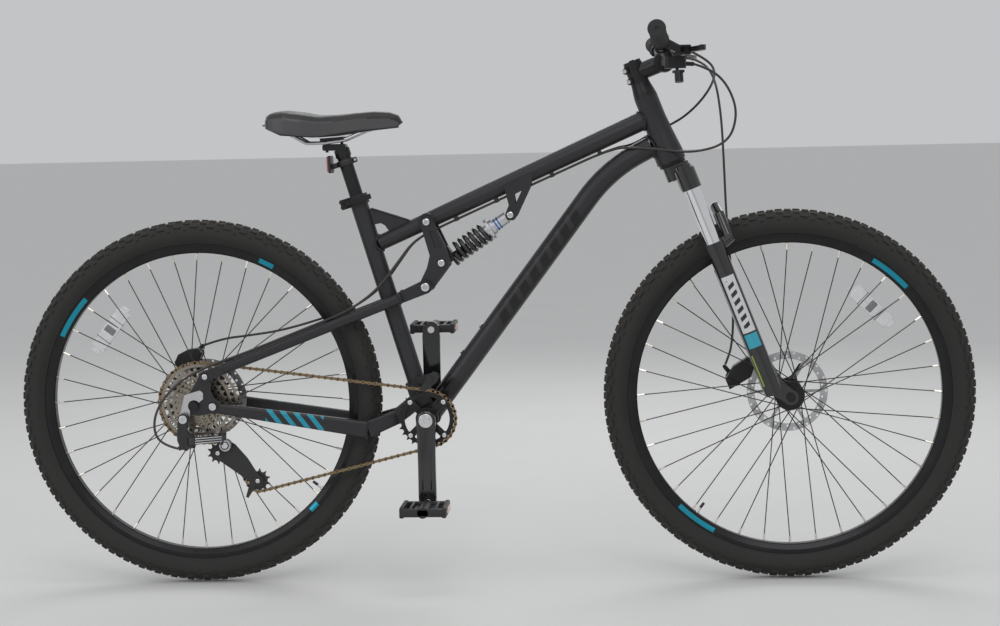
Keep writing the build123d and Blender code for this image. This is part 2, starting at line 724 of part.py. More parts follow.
def bar_point(y):
    side = 1 if y > 0 else -1
    reach = abs(y)
    if reach <= bar_rise_start:
        return bar_middle + across * y
    if reach <= bar_rise_end:
        share = (reach - bar_rise_start) / (bar_rise_end - bar_rise_start)
        return Vector(bar_middle.X - 4 * share, side * reach, bar_middle.Z + 19 * share)
    share = (reach - bar_rise_end) / (bar_half_width - bar_rise_end)
    return Vector(bar_middle.X - 4 - 13.6 * share, side * reach, bar_middle.Z + 19 + 28.3 * share)


with BuildPart() as handlebar:
    corners = [bar_point(y) for y in (-350.0, -100.0, -42.0, 42.0, 100.0, 350.0)]
    with BuildLine() as bar_path:
        FilletPolyline(*corners, radius=60)
    with BuildSketch(Plane(origin=corners[0], z_dir=corners[1] - corners[0])) as bar_section:
        Circle(bar_radius)
    sweep(bar_section.sketch, path=bar_path.line)
    rod(bar_middle - across * 29, bar_middle + across * 29, bar_clamp_radius)
    with BuildSketch(Plane(origin=corners[0], z_dir=corners[1] - corners[0])) as bar_bore:
        Circle(bar_radius - tube_wall)
    sweep(bar_bore.sketch, path=bar_path.line, mode=Mode.SUBTRACT)
finish(handlebar, "handlebar")

with BuildPart() as grips:
    for side in (-1, 1):
        inner = bar_point(side * grip_start)
        outer = bar_point(side * bar_half_width)
        way = (outer - inner).normalized()
        rod(inner, outer + way * 3, grip_radius)
        rod(inner, inner + way * 4, grip_radius + 1.5)
        rod(outer - way * 1, outer + way * 4, grip_radius + 1)
        rod(inner - way * 5, outer, bar_radius + 0.02, Mode.SUBTRACT)
finish(grips, "grips")

lever_clamp_y = 190.0
shifter_clamp_y = 150.0
lever_pivot_y = 186.0
lever_pivot = Vector(388.0, 0, 1036.0)
paddle_pivot = Vector(371.0, -160.0, 999.0)
with BuildPart() as bar_controls:
    for side in (-1, 1):
        clamp_start = bar_point(side * (lever_clamp_y - 7))
        clamp_end = bar_point(side * (lever_clamp_y + 7))
        rod(clamp_start, clamp_end, bar_radius + 4.5)
        clamp_middle = bar_point(side * lever_clamp_y)
        pivot = at_y(lever_pivot, side * lever_pivot_y)
        tapered_bar(
            clamp_middle + Vector(10, 0, 0), pivot - Vector(11, 0, 0), (14, 16), (16, 15), 3,
        )
        with BuildSketch(Plane.XY.offset(lever_pivot.Z - 9)) as ears:
            with Locations((lever_pivot.X, side * lever_pivot_y)):
                Circle(9)
            with Locations((lever_pivot.X - 14, side * (lever_pivot_y - 4))):
                Rectangle(12, 22)
            make_hull()
        extrude(ears.sketch, amount=18)
        with BuildSketch(Plane.XY.offset(lever_pivot.Z - 5)) as slot_face:
            with Locations((lever_pivot.X + 1, side * (lever_pivot_y + 6))):
                Rectangle(24, 34)
        extrude(slot_face.sketch, amount=10, mode=Mode.SUBTRACT)
        rod(pivot - Vector(0, 0, 8.5), pivot + Vector(0, 0, 8.5), 2.5)
        barrel_start = Vector(lever_pivot.X - 6, side * (lever_pivot_y - 13), lever_pivot.Z)
        rod(barrel_start, barrel_start + Vector(14, -side * 14, -2), 4.5)
    pod_middle = Vector(366.0, -shifter_clamp_y, 1014.0)
    rod(bar_point(-shifter_clamp_y - 6), bar_point(-shifter_clamp_y + 6), bar_radius + 4)
    with BuildSketch(Plane.XY.offset(1003)) as pod_face:
        with Locations((pod_middle.X + 2, -shifter_clamp_y - 2)):
            RectangleRounded(40, 34, 9)
    extrude(pod_face.sketch, amount=22)
    rod(paddle_pivot, paddle_pivot + Vector(0, 0, 4.5), 3.0)
    rod((380, -144, 1012), (402, -132, 1011), 4.2)
    rod((352, -shifter_clamp_y, 1036), (362, -shifter_clamp_y, 1014), 8)
    for y in (-lever_clamp_y, -shifter_clamp_y, lever_clamp_y):
        rod(bar_point(y - 22), bar_point(y + 22), bar_radius, Mode.SUBTRACT)
finish(bar_controls, "bar_controls")

for side_name, side in (("right", -1), ("left", 1)):
    with BuildPart() as brake_lever:
        pivot_y = side * lever_pivot_y
        lever_outline = [
            (-4, -8), (9, -6), (16, 12), (26, 40), (32, 75), (33, 100), (30, 108),
            (24, 107), (22, 98), (21, 76), (14, 44), (4, 16), (-6, 6),
        ]
        with BuildSketch(Plane.XY.offset(lever_pivot.Z - 4.6)) as blade:
            with BuildLine():
                Polyline(*[(lever_pivot.X + x, pivot_y + side * y) for x, y in lever_outline], close=True)
            make_face()
        extrude(blade.sketch, amount=9.2)
        cut = at_y(lever_pivot, pivot_y)
        rod(cut - Vector(0, 0, 12), cut + Vector(0, 0, 12), 2.5 + running, Mode.SUBTRACT)
    finish(brake_lever, f"brake_lever_{side_name}")

with BuildPart() as shifter_paddle:
    with BuildSketch(Plane.XY.offset(paddle_pivot.Z - 5.3)) as paddle_face:
        with Locations((paddle_pivot.X, paddle_pivot.Y)):
            Circle(9)
        with Locations((paddle_pivot.X + 6, paddle_pivot.Y - 38)):
            Circle(7)
        make_hull()
    extrude(paddle_face.sketch, amount=5)
    rod((373, -196, 997), (374, -200, 976), 8)
    rod(paddle_pivot - Vector(0, 0, 10), paddle_pivot + Vector(0, 0, 10), 3.0 + running, Mode.SUBTRACT)
finish(shifter_paddle, "shifter_paddle")

with BuildPart() as fork_lowers:
    for side in (-1, 1):
        top = steer_point(lowers_top, crown_offset, side * stanchion_spacing)
        bottom = steer_point(lowers_bottom, crown_offset, side * stanchion_spacing)
        rod(top, bottom, leg_radius)
        rod(top, top + steer_down * 26, leg_radius + 1.5)
        rod(bottom, bottom + steer_down * 3, 6)
        inner_face = front_hub_width / 2
        tapered_bar(
            steer_point(545, crown_offset + 4, side * (inner_face + 5)),
            front_axle + across * side * (inner_face + 5), (9, 34), (9, 28), 3,
        )
        cross_rod(front_axle, 15, *sorted((side * inner_face, side * (inner_face + 10))))
        rod(
            steer_point(lowers_top + 12, crown_offset + 6, side * (stanchion_spacing - 2)),
            steer_point(lowers_top + 1, crown_offset + 37, side * (stanchion_spacing - 4)), 10,
        )
        rod(
            steer_point(lowers_top + 8, crown_offset + 31, side * (stanchion_spacing - 4)),
            steer_point(196, 47, side * 47), 10,
        )
        rod(steer_point(200, 47, side * 49), steer_point(184, 46, side * 22), 9.5)
    rod(steer_point(184, 46, -26), steer_point(184, 46, 26), 9.2)
    rod((524, 60, 426), (498, 58, 404), 6)
    for side in (-1, 1):
        rod(
            steer_point(lowers_top - 60, crown_offset, side * stanchion_spacing),
            steer_point(lowers_bottom - 12, crown_offset, side * stanchion_spacing),
            stanchion_radius + running, Mode.SUBTRACT,
        )
    cross_rod(front_axle, 5.5, -70, 70, Mode.SUBTRACT)
finish(fork_lowers, "fork_lowers")

locknut_radius = 9.0
with BuildPart() as front_axle_set:
    half_hub = front_hub_width / 2
    cross_rod(front_axle, hub_axle_radius, -half_hub, half_hub)
    cross_rod(front_axle, locknut_radius, -half_hub, front_flanges[1] - 9 - gap)
    cross_rod(front_axle, locknut_radius, front_rotor_y + rotor_thickness / 2 + 3 + gap, half_hub)
    for side in (-1, 1):
        cross_rod(front_axle, 5.5 - running, *sorted((side * half_hub, side * (half_hub + 10))))
        cross_rod(front_axle, 9, *sorted((side * (half_hub + 10), side * (half_hub + 17))))
    cross_rod(front_axle, 10, half_hub + 17, half_hub + 26)
    cross_rod(front_axle, 5, half_hub + 26, half_hub + 27)
    side_link(front_axle, front_axle + Vector(30, 0, 46), 6, 5, half_hub + 27, half_hub + 33)
finish(front_axle_set, "front_axle")

with BuildPart() as front_caliper:
    rotor_low = front_rotor_y - rotor_thickness / 2
    rotor_high = front_rotor_y + rotor_thickness / 2
    side_plate([(470, 372), (512, 396), (522, 424), (506, 436), (478, 418), (462, 392)], rotor_low - 13, rotor_high + 12)
    cross_rod(Vector(480, 0, 392), 17, rotor_high + 12, rotor_high + 20)
    side_link(Vector(480, 0, 392), Vector(462, 0, 414), 5, 4, rotor_high + 20.5, rotor_high + 25)
    cross_rod(Vector(480, 0, 392), 3, rotor_high + 20, rotor_high + 25)
    cross_rod(front_axle, rotor_radius + 2, rotor_low - 1.5, rotor_high + 1.5, Mode.SUBTRACT)
    cross_rod(front_axle, 62, -100, 100, Mode.SUBTRACT)
    for side in (-1, 1):
        rod(
            steer_point(lowers_top, crown_offset, side * stanchion_spacing),
            steer_point(lowers_bottom, crown_offset, side * stanchion_spacing), leg_radius + 0.2, Mode.SUBTRACT,
        )
    add(fork_lowers.part, mode=Mode.SUBTRACT)
finish(front_caliper, "front_caliper")

# ---------------------------------------------------------------- rear suspension
yoke_inner = seat_tube_radius + 2 + gap
yoke_outer = yoke_inner + 11
drop_inner = rear_hub_width / 2
drop_outer = drop_inner + 8
with BuildPart() as chainstays:
    for side in (-1, 1):
        knee = Vector(-190, side * 27, 332)
        weld = Vector(-246, side * 50, 312)
        tail = Vector(-535, side * 71.5, 359.5)
        plate = sorted((side * yoke_inner, side * yoke_outer))
        side_link(main_pivot, knee, 15, 14, *plate)
        tapered_bar(knee, weld, (10.5, 28), (16, 33), 4)
        tapered_bar(weld, tail, (18, 33), (14, 20), 5)
        tapered_bar(tail, tail + Vector(-14, 0, 2), (8, 20), (8, 22), 2)
        side_plate([
            (-560, 437), (-570, 432), (-580, 412), (-598, 385), (-598, 353), (-578, 346), (-552, 350),
            (-534, 352), (-533, 371), (-546, 380), (-553, 396), (-550, 420), (-552, 434),
        ], *sorted((side * drop_inner, side * drop_outer)), corner=2)
        cross_rod(Vector(-548, 0, 364), 9, *sorted((side * drop_outer, side * (drop_outer + 3))))
    rod((-192, -30, 333), (-192, 30, 333), 9)
    cross_rod(main_pivot, 8, -yoke_inner - 1, yoke_inner + 1)
    cross_rod(rear_axle, 5.5, -100, 100, Mode.SUBTRACT)
    cross_rod(dropout_pivot, 4 + running, -100, 100, Mode.SUBTRACT)
    for side in (-1, 1):
        tab = sorted((side * (drop_inner - 20), side * drop_inner))
        cross_rod(dropout_pivot, 17, *tab, Mode.SUBTRACT)
        tab = sorted((side * drop_outer, side * (drop_outer + 20)))
        cross_rod(dropout_pivot, 17, *tab, Mode.SUBTRACT)
finish(chainstays, "chainstays")

hanger_bolt = Vector(-604.9, 0, 341.4)
hanger_inner = -drop_outer - 4
with BuildPart() as derailleur_hanger:
    side_plate([
        (-566, 392), (-572, 397), (-580, 395), (-603, 388), (-607, 372), (-614, 346), (-612, 334), (-602, 331),
        (-595, 338), (-593, 352), (-594, 376), (-576, 372), (-566, 380),
    ], hanger_inner, -drop_outer, corner=2)
    cross_rod(rear_axle, 12, -100, 0, Mode.SUBTRACT)
    cross_rod(hanger_bolt, 5, hanger_inner - 12, hanger_inner)
    cross_rod(hanger_bolt, 8, hanger_inner - 15, hanger_inner - 12)
    cross_rod(Vector(-572, 0, 384), 3.5, hanger_inner - 2, hanger_inner)
finish(derailleur_hanger, "derailleur_hanger")

with BuildPart() as rear_axle_set:
    cross_rod(rear_axle, hub_axle_radius, -drop_inner, drop_inner)
    cross_rod(rear_axle, locknut_radius, -drop_inner, free_hub_outer - gap)
    cross_rod(rear_axle, locknut_radius, rear_rotor_y + rotor_thickness / 2 + 3 + gap, drop_inner)
    cross_rod(rear_axle, 5.5 - running, -drop_outer, -drop_inner)
    cross_rod(rear_axle, 5.5 - running, drop_inner, drop_outer)
    cross_rod(rear_axle, 9, -drop_outer - 9, -drop_outer)
    cross_rod(rear_axle, 9, drop_outer, drop_outer + 8)
    side_link(rear_axle, rear_axle + Vector(-34, 0, 40), 6, 5, drop_outer + 9, drop_outer + 14)
    cross_rod(rear_axle, 4, drop_outer + 8, drop_outer + 9)
finish(rear_axle_set, "rear_axle")

with BuildPart() as rear_caliper:
    rotor_low = rear_rotor_y - rotor_thickness / 2
    rotor_high = rear_rotor_y + rotor_thickness / 2
    side_plate([
        (-640, 424), (-648, 440), (-640, 456), (-620, 466), (-600, 468), (-590, 458), (-598, 440), (-612, 424),
    ], rotor_low - 11, rotor_high + 13)
    cross_rod(Vector(-625, 0, 444), 16, rotor_high + 13, rotor_high + 20)
    side_link(Vector(-625, 0, 444), Vector(-596, 0, 470), 5, 4, rotor_high + 20.5, rotor_high + 25)
    cross_rod(Vector(-625, 0, 444), 3, rotor_high + 20, rotor_high + 25)
    side_link(Vector(-604, 0, 430), Vector(-588, 0, 396), 6, 5, drop_inner - 6, drop_inner - running)
    cross_rod(rear_axle, rotor_radius + 2, rotor_low - 1.5, rotor_high + 1.5, Mode.SUBTRACT)
    cross_rod(rear_axle, 60, -100, drop_inner - 6, Mode.SUBTRACT)
finish(rear_caliper, "rear_caliper")

rocker_inner = 24.5
rocker_outer = rocker_inner + 8
open_pivot_play = 2.6
shock_eye_play = 1.0
with BuildPart() as seatstays:
    for side in (-1, 1):
        ear = sorted((side * (rocker_outer + 0.5), side * (rocker_outer + 9.5)))
        front_weld = Vector(-177, side * 40, 569)
        rear_weld = Vector(-533, side * 71.5, 435)
        side_link(at_y(stay_pivot, 0), front_weld, 13, 10.5, *ear)
        tapered_bar(front_weld + Vector(4, 0, 1.5), rear_weld, (20, 21), (17, 20), 8)
        side_link(rear_weld, dropout_pivot, 9.8, 11, *sorted((side * (drop_inner - 5.5), side * (drop_outer + 5))))
    cross_rod(stay_pivot, 4 + open_pivot_play, -100, 100, Mode.SUBTRACT)
    for side in (-1, 1):
        clevis = sorted((side * (drop_inner - gap), side * (drop_outer + gap)))
        cross_rod(dropout_pivot, 19, *clevis, Mode.SUBTRACT)
        cross_rod(dropout_pivot, 4, *sorted((side * (drop_inner - 5), side * (drop_outer + 5.5))))
        cross_rod(dropout_pivot, 6, *sorted((side * (drop_outer + 5), side * (drop_outer + 7))))
finish(seatstays, "seatstays")

with BuildPart() as rocker_links:
    for side in (-1, 1):
        plate = sorted((side * rocker_inner, side * rocker_outer))
        side_plate([
            (-133, 714), (-131, 724), (-121, 730.5), (-111, 726), (-106, 716), (-80, 660), (-76, 645), (-79, 630),
            (-92, 613), (-113, 586), (-120, 580), (-130, 581), (-137, 588), (-136, 600), (-122, 628), (-116, 652),
        ], *plate, corner=2)
        side_plate([(-116, 700), (-107, 700), (-92, 668), (-106, 668)], *sorted((side * (rocker_outer - 3), side * 40)), Mode.SUBTRACT)
        for point, reach in ((rocker_pivot, 3), (shock_rear_eye, 3)):
            cross_rod(point, 7.5, *sorted((side * rocker_outer, side * (rocker_outer + reach))))
        cross_rod(stay_pivot, 11, *sorted((side * (rocker_outer + 10), side * (rocker_outer + 12))))
    cross_rod(rocker_pivot, 8, -rocker_outer, rocker_outer)
    cross_rod(shock_rear_eye, 4, -rocker_outer, rocker_outer)
    cross_rod(stay_pivot, 4, -rocker_outer - 10, rocker_outer + 10)
finish(rocker_links, "rocker_links")

shock_way = (shock_rear_eye - shock_front_eye).normalized()


def shock_point(distance):
    return shock_front_eye + shock_way * distance


shock_length = (shock_rear_eye - shock_front_eye).length
spring_front = 53.0
spring_rear = 138.0
with BuildPart() as shock_body:
    cross_rod(shock_front_eye, 11, -14, 14)
    rod(shock_point(9), shock_point(50), 13)
    rod(shock_point(40), shock_point(spring_front - 6), 15)
    rod(shock_point(spring_front - 6), shock_point(spring_front - gap), spring_outer_radius + 1)
    rod(shock_point(50), shock_point(104), 13)
    rod(shock_point(18), shock_point(106), 5 + running, Mode.SUBTRACT)
    cross_rod(shock_front_eye, 4 + running, -30, 30, Mode.SUBTRACT)
finish(shock_body, "shock_body")

with BuildPart() as shock_shaft:
    rod(shock_point(60), shock_point(shock_length - 6), 5)
    rod(shock_point(spring_rear + gap), shock_point(spring_rear + 6), spring_outer_radius)
    rod(shock_point(spring_rear + 5), shock_point(shock_length - 6), 10)
    cross_rod(shock_rear_eye, 11, -13, 13)
    cross_rod(shock_rear_eye, 4 + shock_eye_play, -30, 30, Mode.SUBTRACT)
finish(shock_shaft, "shock_shaft")

with BuildPart() as shock_spring:
    with BuildSketch(Plane(origin=shock_point(spring_front), z_dir=shock_way)) as spring_section:
        Circle(spring_outer_radius - gap)
        Circle(spring_inner_radius, mode=Mode.SUBTRACT)
    extrude(spring_section.sketch, amount=spring_rear - spring_front)
finish(shock_spring, "shock_spring")

# ---------------------------------------------------------------- cranks and pedals
bracket_axis = Axis(bottom_bracket, (0, 1, 0))
with BuildPart() as crank_arms:
    cross_rod(bottom_bracket, 8.5, -crank_outer_y, crank_outer_y)
    for side in (-1, 1):
        foot = bottom_bracket + Vector(0, 0, side * crank_length)
        arm_side = sorted((side * crank_inner_y, side * crank_outer_y))
        side_link(bottom_bracket, foot, 20, 17, *arm_side)
        cross_rod(bottom_bracket, 17, *sorted((side * 54, side * crank_inner_y)))
        cross_rod(foot, 7 + running, -100, 100, Mode.SUBTRACT)
        cross_rod(bottom_bracket, 10, *sorted((side * crank_outer_y, side * (crank_outer_y + 2))))
finish(crank_arms, "crank_arms")

ring_radius = pitch_radius(ring_teeth)
with BuildPart() as chainring:
    with BuildSketch(side_plane(ring_y + 1.5)) as ring_face:
        with Locations((bottom_bracket.X, bottom_bracket.Z)):
            Circle(ring_radius - chain_seat)
            Circle(38, mode=Mode.SUBTRACT)
            with PolarLocations(30, 4, start_angle=45):
                Rectangle(24, 15)
            Circle(22)
            Circle(17 + running, mode=Mode.SUBTRACT)
    extrude(ring_face.sketch, amount=3)
    with BuildSketch(side_plane(ring_y - 1.5)) as spider_face:
        with Locations((bottom_bracket.X, bottom_bracket.Z)):
            with PolarLocations(42, 4, start_angle=45):
                Circle(5)
    extrude(spider_face.sketch, amount=2.5)
    cross_rod(bottom_bracket, 22, ring_y - 5, ring_y - 1)
    cross_rod(bottom_bracket, 17 + running, ring_y - 6, ring_y + 6, Mode.SUBTRACT)
finish(chainring, "chainring")

pedal_inner_y = 87.0
pedal_width = 92.0
pedal_length = 92.0
pedal_height = 22.0
for side_name, side in (("right", -1), ("left", 1)):
    with BuildPart() as pedal:
        spindle = bottom_bracket + Vector(0, 0, side * crank_length)
        centre_y = side * (pedal_inner_y + pedal_width / 2)
        with BuildSketch(Plane.XY.offset(spindle.Z - pedal_height / 2)) as cage:
            with Locations((spindle.X, centre_y)):
                RectangleRounded(pedal_length, pedal_width, 10)
                with GridLocations(pedal_length / 2 + 3, 0, 2, 1):
                    RectangleRounded(27, pedal_width - 22, 5, mode=Mode.SUBTRACT)
        extrude(cage.sketch, amount=pedal_height)
        cross_rod(spindle, 11.5, *sorted((side * pedal_inner_y, side * (pedal_inner_y + pedal_width))))
        cross_rod(spindle, 7, *sorted((side * (crank_inner_y - 1), side * (pedal_inner_y + 4))))
        cross_rod(spindle, 9.5, *sorted((side * (crank_outer_y + 0.5), side * pedal_inner_y)))
    finish(pedal, f"pedal_{side_name}")

# ---------------------------------------------------------------- chain guide and derailleur
with BuildPart() as chain_guide:
    guide_bolt = Vector(-120, 0, 411)
    guide_outline = [
        (-149, 379), (-146, 377), (-134, 384), (-106, 404), (-101, 414), (-106, 423), (-115, 424), (-128, 408),
    ]
    side_plate(guide_outline, ring_y - 8, ring_y - 5.5)
    side_plate(guide_outline, ring_y + 5.5, ring_y + 8)
    cross_rod(guide_bolt, 4, ring_y - 10, ring_y + 8)
    cross_rod(guide_bolt, 6, ring_y - 11, ring_y - 8)
    cross_rod(guide_bolt, 7, ring_y + 8, -seat_tube_radius - 4)
    side_plate([(-122, 418), (-112, 416), (-128, 395), (-146, 398), (-150, 410)], -seat_tube_radius - 6, -seat_tube_radius - 2)
    cross_rod(main_pivot, 16, -60, 0, Mode.SUBTRACT)
    rod(seat_point(-10), seat_point(seat_tube_low), seat_tube_radius + running, Mode.SUBTRACT)
finish(chain_guide, "chain_guide")

knuckle_outer = hanger_inner - 11.7
knuckle_inner = hanger_inner - gap
link_start = Vector(-590.0, -86.0, 298.0)
link_end = Vector(-535.0, -54.0, 298.0)
link_pin = 3.0
with BuildPart() as derailleur_knuckle:
    cross_rod(hanger_bolt, 11, knuckle_outer, knuckle_inner)
    side_plate([
        (-616, 340), (-597, 334), (-599, 318), (-594, 312), (-594, 284), (-600, 278), (-612, 284), (-618, 300),
    ], knuckle_outer, knuckle_inner, corner=3)
    rod(link_start + Vector(0, 0, -14), link_start + Vector(0, 0, 13), 6)
    with BuildSketch(Plane.XY.offset(link_start.Z - 14)) as knuckle_web:
        with Locations((link_start.X - 7, link_start.Y)):
            Rectangle(14, 10)
    extrude(knuckle_web.sketch, amount=27)
    rod(link_start + Vector(0, 0, -8), link_start + Vector(0, 0, 7), 9, Mode.SUBTRACT)
    rod(link_start + Vector(0, 0, -12), link_start + Vector(0, 0, 11), link_pin)
    rod((-606, -87, 286), (-616, -87, 283.5), 4.5)
    cross_rod(hanger_bolt, 5 + running, -100, 0, Mode.SUBTRACT)
finish(derailleur_knuckle, "derailleur_knuckle")

with BuildPart() as derailleur_link:
    with BuildSketch(Plane.XY.offset(link_start.Z - 7.7)) as link_face:
        with Locations((link_start.X, link_start.Y)):
            Circle(8)
        with Locations((link_end.X, link_end.Y)):
            Circle(8)
        make_hull()
    extrude(link_face.sketch, amount=14.4)
    for pin in (link_start, link_end):
        rod(pin - Vector(0, 0, 20), pin + Vector(0, 0, 20), link_pin + running, Mode.SUBTRACT)
finish(derailleur_link, "derailleur_link")

cage_pivot = Vector(-530.0, 0, 284.0)
plate_gap = chain_width / 2 + 0.8
cage_outer_y = pulley_y - plate_gap - 2
with BuildPart() as derailleur_body:
    rod(link_end + Vector(0, 0, -12), link_end + Vector(0, 0, 11), 8)
    cross_rod(cage_pivot, 12, cage_outer_y - 11, cage_outer_y - gap)
    rod(link_end + Vector(0, 0, -8), link_end + Vector(0, 0, 7), 9, Mode.SUBTRACT)
    rod(link_end + Vector(0, 0, -10), link_end + Vector(0, 0, 9), link_pin)
    cross_rod(cage_pivot, 4 + running, -100, 0, Mode.SUBTRACT)
finish(derailleur_body, "derailleur_body")

with BuildPart() as derailleur_cage:
    for y_from, y_to in (
        (pulley_y - plate_gap - 2, pulley_y - plate_gap), (pulley_y + plate_gap, pulley_y + plate_gap + 2),
    ):
        side_link(upper_pulley, lower_pulley, 11, 11, y_from, y_to)
    side_link(upper_pulley, cage_pivot, 11, 11, pulley_y - plate_gap - 2, pulley_y - plate_gap)
    side_plate([
        (-522, 290), (-512, 284), (-488, 256), (-470, 226), (-458, 216), (-460, 200), (-474, 199), (-489, 176),
        (-494, 178), (-484, 212), (-520, 250), (-540, 262),
    ], pulley_y - plate_gap - 2, pulley_y - plate_gap)
    for pulley in (upper_pulley, lower_pulley):
        cross_rod(pulley, 2.5, pulley_y - plate_gap - 3, pulley_y + plate_gap + 3)
        cross_rod(pulley, 4.5, pulley_y - plate_gap - 4, pulley_y - plate_gap - 2)
    cross_rod(cage_pivot, 4, cage_outer_y - 11, cage_outer_y)
finish(derailleur_cage, "derailleur_cage")

for pulley_name, centre, teeth in (
    ("upper_pulley", upper_pulley, pulley_teeth), ("lower_pulley", lower_pulley, lower_pulley_teeth),
):
    with BuildPart() as pulley_wheel:
        cross_rod(centre, pitch_radius(teeth) - chain_seat, pulley_y - 1.2, pulley_y + 1.2)
        cross_rod(centre, 6, pulley_y - plate_gap + gap, pulley_y + plate_gap - gap)
        cross_rod(centre, 2.5 + running, -100, 0, Mode.SUBTRACT)
    finish(pulley_wheel, pulley_name)

# ---------------------------------------------------------------- chain
# The chain is one closed band; each wheel is (centre, pitch radius, plane, turning sense).
chain_wheels = [
    (bottom_bracket, ring_radius, ring_y, 1),
    (rear_axle, pitch_radius(cog_teeth[-1]), large_cog_y, 1),
    (upper_pulley, pitch_radius(pulley_teeth), pulley_y, -1),
    (lower_pulley, pitch_radius(lower_pulley_teeth), pulley_y, 1),
]


def tangent_line(first, second):
    centre_a, radius_a, y_a, sense_a = first
    centre_b, radius_b, y_b, sense_b = second
    span = Vector(centre_b.X - centre_a.X, 0, centre_b.Z - centre_a.Z)
    slope = atan2(span.Z, span.X)
    heading = slope - asin_ratio((sense_b * radius_b - sense_a * radius_a) / span.length)
    left = Vector(-sin(heading), 0, cos(heading))
    start = at_y(centre_a - left * (sense_a * radius_a), y_a)
    end = at_y(centre_b - left * (sense_b * radius_b), y_b)
    return start, end, heading


def asin_ratio(value):
    return atan2(value, sqrt(1 - value * value))


def chain_section(point, heading):
    way = Vector(cos(heading), 0, sin(heading))
    with BuildSketch(Plane(origin=point, x_dir=across, z_dir=way)) as section:
        Rectangle(chain_width, chain_height)
    return section.sketch.face()


with BuildPart() as chain:
    lines = []
    for index, wheel in enumerate(chain_wheels):
        lines.append(tangent_line(wheel, chain_wheels[(index + 1) % len(chain_wheels)]))
    for index, (centre, radius, y, sense) in enumerate(chain_wheels):
        start, end, heading = lines[index]
        loft([chain_section(start, heading), chain_section(end, heading)], ruled=True)
        arrive, arrive_heading = lines[index - 1][1], lines[index - 1][2]
        first = atan2(arrive.Z - centre.Z, arrive.X - centre.X)
        last = atan2(start.Z - centre.Z, start.X - centre.X)
        turn = (last - first) * sense % (2 * pi) * sense
        middle = first + turn / 2
        with BuildLine() as arc_path:
            ThreePointArc(arrive, at_y(centre + Vector(cos(middle), 0, sin(middle)) * radius, y), start)
        sweep(chain_section(arrive, arrive_heading), path=arc_path.line)
finish(chain, "chain")

# ---------------------------------------------------------------- control cables
def cable_run(points, radius):
    corners = [Vector(*point) for point in points]
    radii = []
    for before, corner, after in zip(corners, corners[1:], corners[2:]):
        turn = radians((corner - before).get_angle(after - corner))
        radii.append(0.45 * min((corner - before).length, (after - corner).length) / tan_half(turn))
    with BuildLine() as route:
        FilletPolyline(*corners, radius=radii)
    with BuildSketch(Plane(origin=corners[0], z_dir=corners[1] - corners[0])) as section:
        Circle(radius)
    sweep(section.sketch, path=route.line)


def tan_half(turn):
    return sin(turn / 2) / cos(turn / 2)


front_brake_route = [
    (396.6, 158.4, 1033.9), (428, 130, 1025), (452, 110, 990), (463, 100, 915), (467, 94, 816),
    (470, 91, 717), (479, 89, 600), (482, 86, 500), (476, 74, 450), (469, 64.5, 432), (463.6, 64, 418.3),
]
gear_route = [
    (403.2, -131.3, 1010.9), (440, -112, 1000), (472, -86, 965), (488, -62, 915), (470, -44, 860),
    (400, -38, 842), (330, -30, 853), (290, -20, 855), tuple(top_tube_under(236, -cable_side, cable_drop)),
    tuple(top_tube_under(-112, -cable_side, cable_drop)), (-150, -10, 680), (-180, -24, 640),
    (-218, -38, 590), (-262, -49, 556.5), (-300, -52, 538), (-490, -70, 466), (-560, -77, 443),
    (-620, -84, 411), (-660, -88, 360), (-665, -88, 312), (-642, -87, 289), (-617.2, -87, 283.2),
]
rear_brake_route = [
    (396.6, -158.4, 1033.9), (430, -132, 1018), (446, -86, 996), (438, -30, 968), (412, 14, 934),
    (376, 38, 905), (325, 34, 884), (285, 20, 860), tuple(top_tube_under(236, cable_side, cable_drop)),
    tuple(top_tube_under(-112, cable_side, cable_drop)), (-150, 10, 680), (-180, 24, 640),
    (-218, 38, 590), (-262, 49, 556.5), (-300, 52, 538), (-420, 60, 502), (-500, 72, 490),
    (-556, 76, 484), (-591.8, 76, 471.6),
]
with BuildPart() as front_brake_cable:
    cable_run(front_brake_route, cable_radius)
finish(front_brake_cable, "front_brake_cable")

with BuildPart() as control_cables:
    cable_run(gear_route, cable_radius)
    cable_run(rear_brake_route, cable_radius)
finish(control_cables, "control_cables")
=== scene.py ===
from math import asin, atan2, cos, pi, radians, sin

import bmesh
import bpy
from mathutils import Matrix, Vector


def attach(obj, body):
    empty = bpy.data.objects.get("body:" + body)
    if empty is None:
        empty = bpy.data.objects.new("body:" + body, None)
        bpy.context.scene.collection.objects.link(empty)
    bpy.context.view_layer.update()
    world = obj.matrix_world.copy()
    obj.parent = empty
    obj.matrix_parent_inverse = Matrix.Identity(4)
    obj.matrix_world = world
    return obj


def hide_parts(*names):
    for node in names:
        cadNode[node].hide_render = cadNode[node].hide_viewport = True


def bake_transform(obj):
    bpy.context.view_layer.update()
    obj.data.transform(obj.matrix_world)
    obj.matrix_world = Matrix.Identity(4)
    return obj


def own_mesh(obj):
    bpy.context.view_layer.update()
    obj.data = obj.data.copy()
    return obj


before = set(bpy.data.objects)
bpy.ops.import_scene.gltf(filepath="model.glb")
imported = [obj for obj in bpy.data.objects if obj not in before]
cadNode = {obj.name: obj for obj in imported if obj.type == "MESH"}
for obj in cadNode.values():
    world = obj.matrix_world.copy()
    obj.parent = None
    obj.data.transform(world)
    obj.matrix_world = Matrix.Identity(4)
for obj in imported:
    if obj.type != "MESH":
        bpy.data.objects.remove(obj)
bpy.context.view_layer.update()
print("frame loaded")

